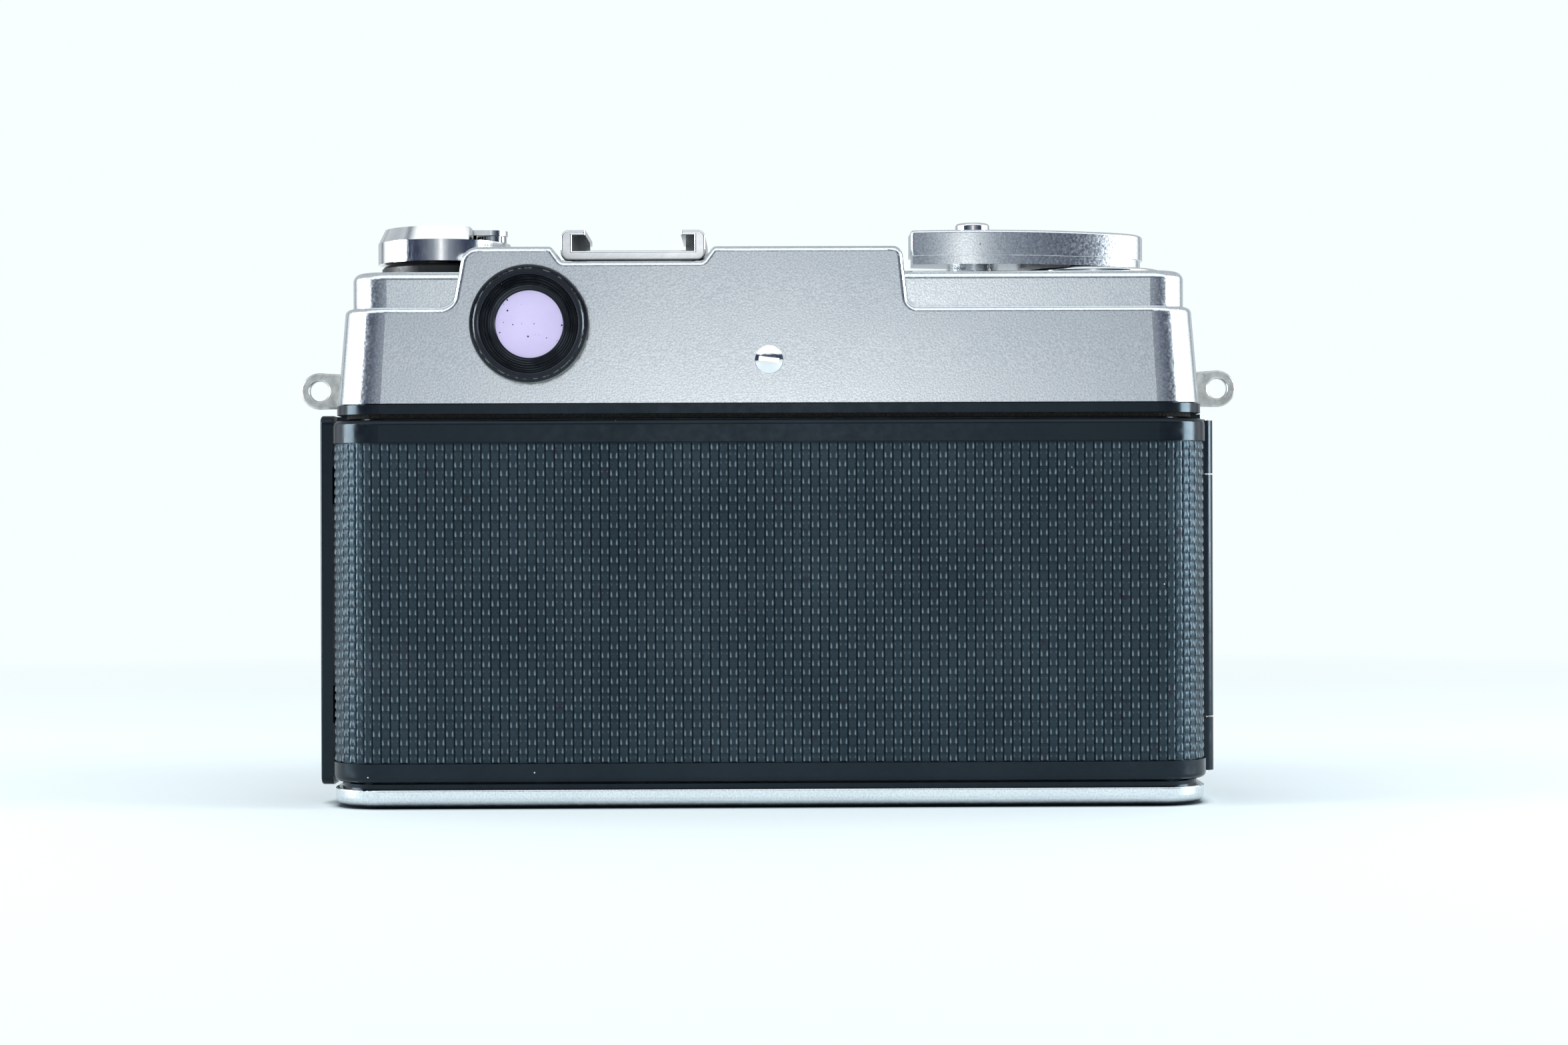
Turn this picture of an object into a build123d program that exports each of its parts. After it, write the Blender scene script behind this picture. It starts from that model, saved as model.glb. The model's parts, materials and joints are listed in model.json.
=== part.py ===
from build123d import *
import math
import os

# A 35 mm rangefinder film camera with a fixed lens, in millimetres.
# +X is the rewind end, +Y the film door, -Y the lens, +Z up. The origin is the mouth of the
# tripod socket, straight under the lens axis.

# Driving dimensions.
body_half = 67.0
body_front = -16.25
body_back = 17.0
corner_radius = 8.0
foot_top = 2.9
foot_skin = 1.0
core_bottom = 3.6
door_bottom = 3.9
leather_bottom = 6.8
leather_top = 55.4
door_top = 58.8
band_bottom = 59.7
deck_top = 61.1
shelf_top = 63.0
cover_bottom = 61.3
ledge_line = 75.9
ledge_top = 81.4
housing_top = 85.1
skin = 0.8
lens_z = 31.5
film_y = 11.5
wind_x = -50.4
rewind_x = 50.8
eyepiece_x = 36.2
eyepiece_z = 73.2

# Depths below the outer face of the black rims.
leather_inset = 0.25
panel_inset = 0.8
band_inset = 0.7
foot_inset = 1.4
core_inset = 2.0
deck_inset = 2.6
lip_inset = 3.6
groove_inset = 4.0
lip_room = 1.6
split_y = 5.0
front_leather_end = 1.2
door_leather_start = 7.6

# Film path.
chamber_bottom = 7.0
chamber_top = 56.0
cassette_radius = 13.2
take_up_radius = 12.2
gate_y = film_y - 1.0
sprocket_x = -33.5
sprocket_y = film_y - 6.05
gate_width = 36.0
gate_height = 24.0
running = 0.05
gap = 0.3
# Longer than the camera in any direction, for cuts that go right through.
clear = 100.0

# Rewind, wind and release positions.
wind_platform_radius = 11.4
lever_bottom = 82.5
lever_step = 83.85
lever_top = 87.7
button_x = -32.4
button_y = -4.5
button_radius = 2.7
button_top = 90.4
counter_x = -14.3
counter_y = -2.0
knob_radius = 10.3
knob_bottom = 83.5
knob_step = 86.8
knob_top = 88.9
crank_pivot_x = 54.3
crank_pivot_z = 87.9
crank_end_x = 43.4

# Tripod socket.
socket_flange_radius = 6.5
socket_flange = 2.0
socket_body_radius = 4.5
socket_height = 8.0
socket_thread_radius = 2.6
socket_depth = 6.5

# Door hinge and latch.
hinge_x = -67.4
hinge_y = 5.0
barrel_radius = 1.5
pin_radius = 0.75
lower_knuckle_top = 12.7
upper_knuckle_bottom = 50.5
knuckle_bottom = 4.5
knuckle_top = 58.7
latch_travel = 2.5
latch_inner = 67.3
latch_outer = 69.2
tenon_levels = (12.0, 46.0)
tenon_height = 6.0

# Lens, as distances along -Y from the body's mid-depth.
lens_seat = -body_front - panel_inset
base_radius = 25.0
guide_radius = 20.4
grip_radius = 26.8
barrel_radius_outer = 25.0
core_radius = 22.5
light_path = 9.0
filter_radius = 22.5
lens_front = 43.0
sync_x = 33.0
sync_z = 48.0
sync_seat = 12.5
sync_radius = 3.0

os.makedirs("parts", exist_ok=True)


def save(piece, name):
    """Label a finished piece and write it."""
    piece.part.label = name
    export_step(piece.part, "parts/" + name + ".step")


def body_plan(inset, mode=Mode.ADD):
    """The body's rounded plan, this far inside the rims."""
    with Locations((0, (body_front + body_back) / 2)):
        RectangleRounded(
            2 * (body_half - inset),
            body_back - body_front - 2 * inset,
            corner_radius - inset,
            mode=mode,
        )


def front_half(to_y=split_y):
    """Keep only the plan in front of this line."""
    with Locations((0, to_y - clear / 2)):
        Rectangle(2 * clear, clear, mode=Mode.INTERSECT)


def rear_half(from_y):
    """Keep only the plan behind this line."""
    with Locations((0, from_y + clear / 2)):
        Rectangle(2 * clear, clear, mode=Mode.INTERSECT)


def block(low, high, mode=Mode.ADD):
    """A box between two corners."""
    with Locations(tuple((a + b) / 2 for a, b in zip(low, high))):
        Box(*(abs(b - a) for a, b in zip(low, high)), mode=mode)


def post(x, y, bottom, top, radius, mode=Mode.ADD):
    """An upright cylinder."""
    with Locations((x, y, bottom)):
        Cylinder(radius, top - bottom, align=(Align.CENTER, Align.CENTER, Align.MIN), mode=mode)


def facing_front(x, depth, z):
    """A plane that looks out along -Y, this far in front of the body's mid-depth."""
    return Plane(origin=(x, -depth, z), x_dir=(1, 0, 0), z_dir=(0, -1, 0))


def facing_back(x, y, z):
    """A plane that looks out along +Y, with its own x along -X."""
    return Plane(origin=(x, y, z), x_dir=(-1, 0, 0), z_dir=(0, 1, 0))


def rod(plane, radius, length, mode=Mode.ADD):
    """A cylinder standing on a plane."""
    with Locations(plane.location):
        Cylinder(radius, length, align=(Align.CENTER, Align.CENTER, Align.MIN), mode=mode)


def lens_disc(near, far, radius, mode=Mode.ADD):
    """A disc on the lens axis between two distances in front of mid-depth."""
    rod(facing_front(0, near, lens_z), radius, far - near, mode)


def slotted_screw(plane, radius, dome, shank, shank_length, slot_width, slot_angle):
    """A cheese-head screw: its head domes out of the plane and its shank goes behind it."""
    head_sphere = (radius * radius + dome * dome) / (2 * dome)
    with BuildPart(plane) as screw:
        Cylinder(radius, dome, align=(Align.CENTER, Align.CENTER, Align.MIN))
        with Locations((0, 0, dome - head_sphere)):
            Sphere(head_sphere, mode=Mode.INTERSECT)
        with Locations(Location((0, 0, dome), (0, 0, slot_angle))):
            Box(3 * radius, slot_width, dome, mode=Mode.SUBTRACT)
        Cylinder(shank, shank_length, align=(Align.CENTER, Align.CENTER, Align.MAX))
    return screw.part


# ---------------------------------------------------------------- body casting

with BuildPart() as body_casting:
    with BuildSketch(Plane.XY.offset(foot_skin)):
        body_plan(foot_inset)
    extrude(amount=core_bottom - foot_skin)
    with BuildSketch(Plane.XY.offset(core_bottom)):
        body_plan(core_inset)
    extrude(amount=band_bottom - core_bottom)
    with BuildSketch(Plane.XY.offset(band_bottom)):
        body_plan(band_inset)
    extrude(amount=deck_top - band_bottom)
    with BuildSketch(Plane.XY.offset(deck_top)):
        body_plan(deck_inset)
    extrude(amount=shelf_top - deck_top)
    # Front and side walls: rims above and below, a shallow bed for the leatherette between.
    with BuildSketch(Plane.XY.offset(door_bottom)):
        body_plan(0)
        front_half()
    extrude(amount=leather_bottom - door_bottom)
    with BuildSketch(Plane.XY.offset(leather_bottom)):
        body_plan(panel_inset)
        front_half()
    extrude(amount=leather_top - leather_bottom)
    with BuildSketch(Plane.XY.offset(leather_top)):
        body_plan(0)
        front_half()
    extrude(amount=band_bottom - leather_top)
    # Grooves that take the door's lips.
    for low, high in ((core_bottom, core_bottom + lip_room), (door_top - lip_room + gap, band_bottom)):
        with BuildSketch(Plane.XY.offset(low)):
            body_plan(core_inset)
            body_plan(groove_inset, Mode.SUBTRACT)
            rear_half(split_y)
        extrude(amount=high - low, mode=Mode.SUBTRACT)
    # Film chambers, open towards the door.
    post(rewind_x, 0, chamber_bottom, chamber_top, cassette_radius, Mode.SUBTRACT)
    post(wind_x, 0, chamber_bottom, chamber_top, take_up_radius, Mode.SUBTRACT)
    block(
        (rewind_x - cassette_radius, 0, chamber_bottom),
        (rewind_x + 11.5, 20, chamber_top),
        Mode.SUBTRACT,
    )
    block(
        (wind_x - 11.0, 0, chamber_bottom),
        (wind_x + take_up_radius, 20, chamber_top),
        Mode.SUBTRACT,
    )
    block((wind_x, gate_y, chamber_bottom), (rewind_x, 20, chamber_top), Mode.SUBTRACT)
    post(sprocket_x, sprocket_y, 14.5, 48.5, 7.2, Mode.SUBTRACT)
    # Film gate, light box and the hole for the lens.
    block(
        (-gate_width / 2, 0, lens_z - gate_height / 2),
        (gate_width / 2, gate_y, lens_z + gate_height / 2),
        Mode.SUBTRACT,
    )
    block((-18.5, -9, lens_z - 12.5), (18.5, gate_y - 1, lens_z + 12.5), Mode.SUBTRACT)
    lens_disc(8, 20, 16.0, Mode.SUBTRACT)
    lens_disc(lens_seat, 20, base_radius, Mode.SUBTRACT)
    # Film rails: the inner pair carries the film, the outer pair guides its edges.
    for side in (-1, 1):
        for middle, width, height in ((14.6, 2.0, 1.0), (19.2, 1.6, 1.3)):
            z = lens_z + side * middle
            block((-25, gate_y, z - width / 2), (34, gate_y + height, z + width / 2))
    # Bearings for the winding parts.
    post(wind_x, 0, 4.2, chamber_bottom, 2.0 + running, Mode.SUBTRACT)
    post(wind_x, 0, chamber_top, 60.8, 2.0 + running, Mode.SUBTRACT)
    post(wind_x, 0, 61.3, 65, 3.0 + running, Mode.SUBTRACT)
    post(sprocket_x, sprocket_y, 8.5, 60.0, 1.5 + running, Mode.SUBTRACT)
    post(rewind_x, 0, chamber_top, 65, 3.0 + running, Mode.SUBTRACT)
    post(sprocket_x, sprocket_y, 0, 6.4, 2.4 + running, Mode.SUBTRACT)
    # Seat of the tripod socket.
    post(0, 0, 0, socket_flange, socket_flange_radius, Mode.SUBTRACT)
    post(0, 0, 0, socket_height, socket_body_radius, Mode.SUBTRACT)
    # Slots that the latch bar's tenons slide in, and room for the hinge barrel.
    for z in tenon_levels:
        block((65.4, 2.2, z), (70, 4.3, z + tenon_height + latch_travel + 0.4), Mode.SUBTRACT)
    post(hinge_x, hinge_y, door_bottom + 0.2, door_top + 0.2, 1.85, Mode.SUBTRACT)
    # Cable sync socket seat.
    rod(facing_front(sync_x, sync_seat, sync_z), sync_radius, 10, Mode.SUBTRACT)
save(body_casting, "body_casting")

with BuildPart() as front_leatherette:
    with BuildSketch(Plane.XY.offset(leather_bottom + running)):
        body_plan(leather_inset)
        body_plan(panel_inset, Mode.SUBTRACT)
        front_half(front_leather_end)
    extrude(amount=leather_top - leather_bottom - 2 * running)
    lens_disc(0, 20, base_radius + 0.2, Mode.SUBTRACT)
    rod(facing_front(sync_x, 12, sync_z), sync_radius + running, 10, Mode.SUBTRACT)
save(front_leatherette, "front_leatherette")

with BuildPart() as light_seals:
    with BuildSketch(Plane.XY.offset(door_top + gap)):
        body_plan(core_inset + 0.2)
        body_plan(groove_inset, Mode.SUBTRACT)
        rear_half(split_y + gap)
    extrude(amount=band_bottom - door_top - gap)
save(light_seals, "light_seals")

# ---------------------------------------------------------------- bottom

foot_screws = [(x, y) for x in (-48, 48) for y in (-9, 10)]

with BuildPart() as bottom_cover:
    with BuildSketch():
        body_plan(0.3)
    extrude(amount=foot_top)
    fillet(bottom_cover.edges().group_by(Axis.Z)[0], 1.6)
    fillet(bottom_cover.edges().group_by(Axis.Z)[-1], 0.3)
    with BuildSketch(Plane.XY.offset(foot_skin)):
        body_plan(foot_inset)
    extrude(amount=foot_top, mode=Mode.SUBTRACT)
    post(0, 0, 0, foot_skin, socket_flange_radius, Mode.SUBTRACT)
    post(sprocket_x, sprocket_y, 0, foot_skin, 2.9, Mode.SUBTRACT)
    for x, y in foot_screws:
        with Locations(Location((x, y, 0), (180, 0, 0))):
            CounterSinkHole(1.0, 1.9, depth=foot_skin)
save(bottom_cover, "bottom_cover")

with BuildPart() as bottom_cover_screws:
    for x, y in foot_screws:
        with Locations((x, y, 0.1)):
            Cone(1.8, 0.95, 0.85, align=(Align.CENTER, Align.CENTER, Align.MIN))
            Cylinder(0.95, 0.9, align=(Align.CENTER, Align.CENTER, Align.MIN))
            Box(4.0, 0.5, 0.7, mode=Mode.SUBTRACT)
save(bottom_cover_screws, "bottom_cover_screws")

with BuildPart() as tripod_socket:
    post(0, 0, 0, socket_flange, socket_flange_radius)
    post(0, 0, 0, socket_height, socket_body_radius)
    post(0, 0, 0, socket_depth, socket_thread_radius, Mode.SUBTRACT)
    chamfer(tripod_socket.edges().group_by(Axis.Z)[0].sort_by(SortBy.RADIUS)[-1], 0.2)
save(tripod_socket, "tripod_socket")

with BuildPart() as rewind_release_button:
    post(sprocket_x, sprocket_y, 0.35, 4.6, 2.4)
    fillet(rewind_release_button.edges().group_by(Axis.Z)[0], 0.5)
save(rewind_release_button, "rewind_release_button")

# ---------------------------------------------------------------- top cover

cover_front = body_front + 1.1
cover_back = body_back - 1.1
cover_middle = (cover_front + cover_back) / 2
cover_depth = cover_back - cover_front
shoe_x = 20.7
shoe_floor = 82.9
shoe_foot = 83.25
shoe_screws_at = [(shoe_x + x, y) for x in (-5, 5) for y in (-2, 8)]
bezel_left = -9.6
bezel_right = 46.1
bezel_bottom = 67.1
bezel_top = 79.9
window_seat = -14.6
# Middle, width and height of each window.
windows = {
    "viewfinder_window": (eyepiece_x, 13.6, 9.6),
    "frameline_window": (17.0, 12.0, 7.6),
    "rangefinder_window": (-4.0, 6.0, 6.0),
}
eyepiece_seat = 15.3
eyepiece_radius = 9.0
rear_screw_z = 67.8
rear_screw_seat = 15.6
side_screw = (65.8, 6.0, 63.7)
lug_x = 70.4
lug_z = 63.9
lug_top = 66.5
lug_half = 0.75
lug_hole = 1.55
lug_eye = 2.85


def shoe_notch(outside):
    """The bed pressed into the housing for the shoe, grown by this much."""
    floor = shoe_floor - outside
    with BuildPart() as notch:
        with BuildSketch(Plane.XZ.offset(7.0 + outside)):
            with BuildLine():
                FilletPolyline(
                    (shoe_x - 17, housing_top),
                    (shoe_x - 12.3 - outside / 2, housing_top),
                    (shoe_x - 10.7 - outside / 2, floor),
                    (shoe_x + 10.7 + outside / 2, floor),
                    (shoe_x + 12.3 + outside / 2, housing_top),
                    (shoe_x + 17, housing_top),
                    (shoe_x + 17, housing_top + 3),
                    (shoe_x - 17, housing_top + 3),
                    radius=0.9,
                    close=True,
                )
            make_face()
        extrude(amount=-40)
    return notch.part


# Half widths and depths of the cover at its foot and, drawn in a little, at the top of the housing.
cover_half = 66.2
cover_half_above = 64.1
cover_draw_in = 0.7
ledge_half = 63.8
ledge_inset = 1.5
housing_left = -21.2
housing_right = 48.0


def cover_plan(half_width, draw_in, radius):
    """The cover's rounded plan at one level."""
    with Locations((0, cover_middle)):
        RectangleRounded(2 * half_width, cover_depth - 2 * draw_in, radius)


def cover_form(inside):
    """The top cover's form, this far inside its outer skin."""
    shoulder = ledge_line - inside
    crown = housing_top - inside
    with BuildPart() as form:
        # The view from the back: shoulders at the ledge line, and the housing with its corners rolled.
        with BuildSketch(Plane.XZ.offset(clear / 2)):
            with BuildLine():
                FilletPolyline(
                    (-clear, cover_bottom),
                    (-clear, shoulder),
                    (housing_left + inside, shoulder),
                    (housing_left + 1.0 + inside, crown),
                    (housing_right - 1.7 - inside, crown),
                    (housing_right - inside, shoulder),
                    (clear, shoulder),
                    (clear, cover_bottom),
                    radius=[0, 0, 1.5 + inside, 1.5 - inside, 2.6 - inside, 2.2 + inside, 0, 0],
                    close=True,
                )
            make_face()
        extrude(amount=-clear)
        with BuildPart(mode=Mode.PRIVATE) as walls:
            with BuildSketch(Plane.XY.offset(cover_bottom)):
                cover_plan(cover_half - inside, inside, 7.4 - inside)
            with BuildSketch(Plane.XY.offset(housing_top + 1)):
                cover_plan(cover_half_above - inside, cover_draw_in + inside, 6.7 - inside)
            loft(ruled=True)
        add(walls.part, mode=Mode.INTERSECT)
        add(shoe_notch(inside), mode=Mode.SUBTRACT)
        rolled = form.edges().filter_by(lambda e: e.center().Z > cover_bottom + 10 and abs(e.center().Y) > 8)
        fillet(rolled, 0.9 - inside / 2)
        with BuildSketch(Plane.XY.offset(shoulder - 1)):
            cover_plan(ledge_half - inside, ledge_inset + inside, 5.8 - inside)
        with BuildSketch(Plane.XY.offset(ledge_top - inside)):
            cover_plan(ledge_half - inside, ledge_inset + inside, 5.8 - inside)
        loft(ruled=True)
        rim = form.edges().filter_by(lambda e: abs(e.center().Z - ledge_top + inside) < 0.01)
        fillet(rim.filter_by(lambda e: abs(e.center().Y) > 8 or abs(e.center().X) > 60), 1.3 - inside / 2)
        # The housing is scooped out round the rewind knob.
        post(rewind_x, 0, ledge_top - inside, 90, knob_radius + 1.1 + inside, Mode.SUBTRACT)
    return form.part


cover_room = cover_form(skin)

with BuildPart() as top_cover:
    add(cover_form(0))
    add(cover_room, mode=Mode.SUBTRACT)
    # Holes for the controls that come up through it.
    post(rewind_x, 0, 79, 83, 5.0 + running, Mode.SUBTRACT)
    post(wind_x, 0, 79, 83, 3.4, Mode.SUBTRACT)
    post(button_x, button_y, 79, 83, 3.4, Mode.SUBTRACT)
    post(counter_x, counter_y, 83, 87, 3.6, Mode.SUBTRACT)
    # Eyepiece, with a flat seat for its flange.
    rod(facing_back(eyepiece_x, 10, eyepiece_z), 7.4, 10, Mode.SUBTRACT)
    rod(facing_back(eyepiece_x, eyepiece_seat, eyepiece_z), eyepiece_radius + running, 10, Mode.SUBTRACT)
    # Finder windows, with a flat seat for their bezel.
    block((bezel_left, -20, bezel_bottom), (bezel_right, window_seat, bezel_top), Mode.SUBTRACT)
    for x, width, height in windows.values():
        low = (x - width / 2, -20, eyepiece_z - height / 2)
        block(low, (x + width / 2, -10, eyepiece_z + height / 2), Mode.SUBTRACT)
    # Screw holes and the slots that the strap lugs come out of.
    rod(facing_back(0, 10, rear_screw_z), 0.9, 10, Mode.SUBTRACT)
    rod(facing_back(0, rear_screw_seat, rear_screw_z), 2.25, 10, Mode.SUBTRACT)
    screw_x, screw_y, screw_z = side_screw
    for side in (-1, 1):
        seat = Plane(origin=(side * screw_x, screw_y, screw_z), z_dir=(side, 0, 0))
        rod(seat, 1.72, 10, Mode.SUBTRACT)
        rod(seat.offset(-6), 0.8, 10, Mode.SUBTRACT)
        block((side * 62, -lug_half, 60), (side * 68, lug_half, lug_top + 0.1), Mode.SUBTRACT)
    for x, y in shoe_screws_at:
        post(x, y, 81, 84, 0.7, Mode.SUBTRACT)
save(top_cover, "top_cover")

with BuildPart() as top_cover_screws:
    add(slotted_screw(facing_back(0, rear_screw_seat, rear_screw_z), 2.18, 0.65, 0.9, 3.0, 0.76, -7))
    for side in (-1, 1):
        place = (side * screw_x, screw_y, screw_z)
        side_plane = Plane(origin=place, x_dir=(0, 1, 0), z_dir=(side, 0, 0))
        add(slotted_screw(side_plane, 1.65, 0.6, 0.8, 1.3, 0.5, 60))
save(top_cover_screws, "top_cover_screws")

with BuildPart() as strap_lugs:
    for side in (-1, 1):
        with BuildSketch(Plane.XZ.offset(-lug_half)):
            with BuildSketch(mode=Mode.PRIVATE) as eye:
                with Locations((side * lug_x, lug_z)):
                    Circle(lug_eye)
                with Locations((side * 67.0, (deck_top + lug_top) / 2)):
                    Rectangle(1.0, lug_top - deck_top)
                make_hull()
            add(eye.sketch)
            with Locations((side * 66.0, (deck_top + lug_top) / 2)):
                Rectangle(3.0, lug_top - deck_top)
            with Locations((side * lug_x, lug_z)):
                Circle(lug_hole, mode=Mode.SUBTRACT)
        extrude(amount=2 * lug_half)
    eye_rims = strap_lugs.edges().filter_by(GeomType.CIRCLE)
    fillet(eye_rims, 0.3)
save(strap_lugs, "strap_lugs")

# ---------------------------------------------------------------- eyepiece and finder

groove_count = 5
with BuildPart() as eyepiece_ring:
    with BuildSketch(Plane(origin=(eyepiece_x, 0, eyepiece_z), z_dir=(0, 0, 1))):
        with BuildLine():
            steps = []
            for k in range(groove_count):
                steps.append((8.15 - 0.58 * k, 18.1 - 0.26 * k))
                steps.append((7.85 - 0.58 * k, 17.75 - 0.26 * k))
            Polyline(
                (5.5, 12.0), (7.4, 12.0), (7.4, eyepiece_seat), (eyepiece_radius, eyepiece_seat),
                (eyepiece_radius, 18.0), (8.75, 18.4),
                (8.35, 18.4), *steps, (5.1, 16.6), (5.1, 16.4), (5.5, 16.4),
                close=True,
            )
        make_face()
    revolve(axis=Axis((eyepiece_x, 0, eyepiece_z), (0, 1, 0)))
save(eyepiece_ring, "eyepiece_ring")

with BuildPart() as eyepiece_glass:
    rod(facing_back(eyepiece_x, 14.6, eyepiece_z), 5.5, 1.8)
    with Locations((eyepiece_x, 16.4 - 40, eyepiece_z)):
        Sphere(40, mode=Mode.INTERSECT)
save(eyepiece_glass, "eyepiece_glass")

with BuildPart() as window_bezel:
    block((bezel_left, -15.95, bezel_bottom), (bezel_right, window_seat, bezel_top))
    fillet(window_bezel.edges().filter_by(Axis.Y), 1.0)
    for x, width, height in windows.values():
        z = eyepiece_z
        block((x - width / 2, -17, z - height / 2), (x + width / 2, -14, z + height / 2), Mode.SUBTRACT)
    chamfer(window_bezel.faces().sort_by(Axis.Y)[0].edges(), 0.25)
save(window_bezel, "window_bezel")

for name, (x, width, height) in windows.items():
    with BuildPart() as pane:
        low = (x - width / 2, -15.5, eyepiece_z - height / 2)
        block(low, (x + width / 2, window_seat, eyepiece_z + height / 2))
    save(pane, name)

with BuildPart() as finder_frame:
    block((-9.0, -9, 63.0), (44.0, 9, 64.4))
    block((41.0, -9, 64.4), (42.5, 9, 79.0))
    block((-9.0, -9, 64.4), (-7.8, 9, 79.0))
    block((10.0, 7.6, 64.4), (29.0, 9, 79.0))
save(finder_frame, "finder_frame")

with BuildPart(Plane(origin=(34.6, -1.5, 64.4), x_dir=(1, 1, 0), z_dir=(0, 0, 1))) as beam_splitter:
    Box(12, 1.2, 14, align=(Align.CENTER, Align.CENTER, Align.MIN))
save(beam_splitter, "beam_splitter")

with BuildPart(Plane(origin=(-2.4, -1.5, 64.4), x_dir=(1, 1, 0), z_dir=(0, 0, 1))) as rangefinder_mirror:
    Box(8, 1.2, 12, align=(Align.CENTER, Align.CENTER, Align.MIN))
save(rangefinder_mirror, "rangefinder_mirror")

# ---------------------------------------------------------------- accessory shoe

shoe_half = 11.05
shoe_front = -6.0
shoe_back = 12.0
shoe_top = 87.9
channel_half = 9.35
channel_bottom = 84.75
channel_top = 87.1
mouth_half = 7.3
shoe_head = 84.0

with BuildPart() as accessory_shoe:
    block((shoe_x - shoe_half, shoe_front, shoe_foot), (shoe_x + shoe_half, shoe_back, shoe_top))
    fillet(accessory_shoe.edges().filter_by(Axis.Y), 1.2)
    block(
        (shoe_x - channel_half, shoe_front - 1, channel_bottom),
        (shoe_x + channel_half, shoe_back + 1, channel_top),
        Mode.SUBTRACT,
    )
    block(
        (shoe_x - mouth_half, shoe_front - 1, channel_top - 0.1),
        (shoe_x + mouth_half, shoe_back + 1, shoe_top + 1),
        Mode.SUBTRACT,
    )
    fillet(accessory_shoe.faces().sort_by(Axis.Y)[-1].edges(), 0.3)
    # Stops at the front end of each channel.
    for side in (-1, 1):
        block(
            (shoe_x + side * (mouth_half + 0.3), shoe_front, channel_bottom),
            (shoe_x + side * (channel_half + 0.15), shoe_front + 1.2, channel_top + 0.1),
        )
    block((shoe_x - 9, -4, shoe_floor), (shoe_x + 9, 10, shoe_foot))
    for x, y in shoe_screws_at:
        post(x, y, 82, shoe_head, 0.7, Mode.SUBTRACT)
        post(x, y, shoe_head, 86, 1.4, Mode.SUBTRACT)
save(accessory_shoe, "accessory_shoe")

with BuildPart() as shoe_screws:
    for x, y in shoe_screws_at:
        post(x, y, shoe_head, shoe_head + 0.7, 1.4)
        post(x, y, 81.2, shoe_head, 0.7)
        block((x - 2, y - 0.2, shoe_head + 0.4), (x + 2, y + 0.2, 85), Mode.SUBTRACT)
save(shoe_screws, "shoe_screws")

# ---------------------------------------------------------------- wind lever and its train

with BuildPart() as wind_platform:
    post(wind_x, 0, ledge_top, lever_bottom - gap, wind_platform_radius)
    fillet(wind_platform.edges().group_by(Axis.Z)[-1], 0.4)
    post(wind_x, 0, 80.5, ledge_top, 3.4)
    post(wind_x, 0, 80, 83, 3.0 + running, Mode.SUBTRACT)
save(wind_platform, "wind_platform")


def lever_plan(inset):
    """The lever's plan: a hub and an arm that sweeps back along the cover's rear edge."""
    with BuildSketch() as plan:
        with Locations((wind_x, 0)):
            Circle(8.3 - inset)
        with BuildLine():
            rear = ThreePointArc(
                (wind_x - 4.1, 7.2 - inset), (wind_x + 11.5, 12.5 - inset), (-21.7 - inset, 12.0 - inset)
            )
            tip = Line(rear @ 1, (-21.7 - inset, 4.9 + inset))
            inner = ThreePointArc(tip @ 1, (-31.5, 1.7 + inset), (wind_x + 6.7, -4.4 + inset))
            Line(inner @ 1, rear @ 0)
        make_face()
    return plan.sketch


with BuildPart() as wind_lever:
    with BuildSketch(Plane.XY.offset(lever_step)):
        add(lever_plan(0))
    extrude(amount=lever_top - lever_step)
    fillet(wind_lever.edges().filter_by(Axis.Z).filter_by(lambda e: e.center().X > -25), 0.7)
    fillet(wind_lever.edges().group_by(Axis.Z)[-1], 0.45)
    with BuildSketch(Plane.XY.offset(lever_bottom)):
        add(lever_plan(0.35))
    extrude(amount=lever_step - lever_bottom)
    post(wind_x, 0, 80, 86.0, 3.0, Mode.SUBTRACT)
    post(wind_x, 0, 86.0, 90, 3.3, Mode.SUBTRACT)
save(wind_lever, "wind_lever")

with BuildPart() as wind_shaft:
    post(wind_x, 0, 61.6, 86.0, 3.0)
save(wind_shaft, "wind_shaft")

with BuildPart() as lever_screw:
    post(wind_x, 0, 86.0, 88.3, 3.3)
    with Locations((wind_x, 0, 88.3 - 13)):
        Sphere(13, mode=Mode.INTERSECT)
    for side in (-1, 1):
        post(wind_x + side * 2.1, 0, 87.6, 89, 0.35, Mode.SUBTRACT)
save(lever_screw, "lever_screw")

with BuildPart() as take_up_spool:
    post(wind_x, 0, 7.4, 55.6, 6.2)
    post(wind_x, 0, 12.2, 13.2, 10.8)
    post(wind_x, 0, 49.8, 50.8, 10.8)
    post(wind_x, 0, 4.5, 60.5, 2.0)
    for turn in (0, 120, 240):
        with Locations(Location((wind_x, 0, lens_z), (0, 0, turn + 30))):
            with Locations((5.0, 0, 0)):
                Box(3.0, 1.4, 26, mode=Mode.SUBTRACT)
save(take_up_spool, "take_up_spool")

with BuildPart() as sprocket:
    post(sprocket_x, sprocket_y, 14.9, 48.1, 5.0)
    post(sprocket_x, sprocket_y, 9.0, 59.0, 1.5)
    for side in (-1, 1):
        row_z = lens_z + side * 14.1
        post(sprocket_x, sprocket_y, row_z - 2.0, row_z + 2.0, 5.95)
        for tooth in range(8):
            with Locations(Location((sprocket_x, sprocket_y, row_z), (0, 0, 45 * tooth))):
                with Locations((6.2, 0, 0)):
                    Box(1.4, 1.3, 1.7)
save(sprocket, "sprocket")

# ---------------------------------------------------------------- frame counter

with BuildPart() as counter_post:
    post(counter_x, counter_y, 63.0, 82.7, 2.2)
    post(counter_x, counter_y, 82.7, 83.5, 0.8)
save(counter_post, "counter_post")

with BuildPart() as counter_dial:
    post(counter_x, counter_y, 83.0, 83.6, 4.4)
    post(counter_x, counter_y, 82, 84, 0.8 + running, Mode.SUBTRACT)
save(counter_dial, "counter_dial")

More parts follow.
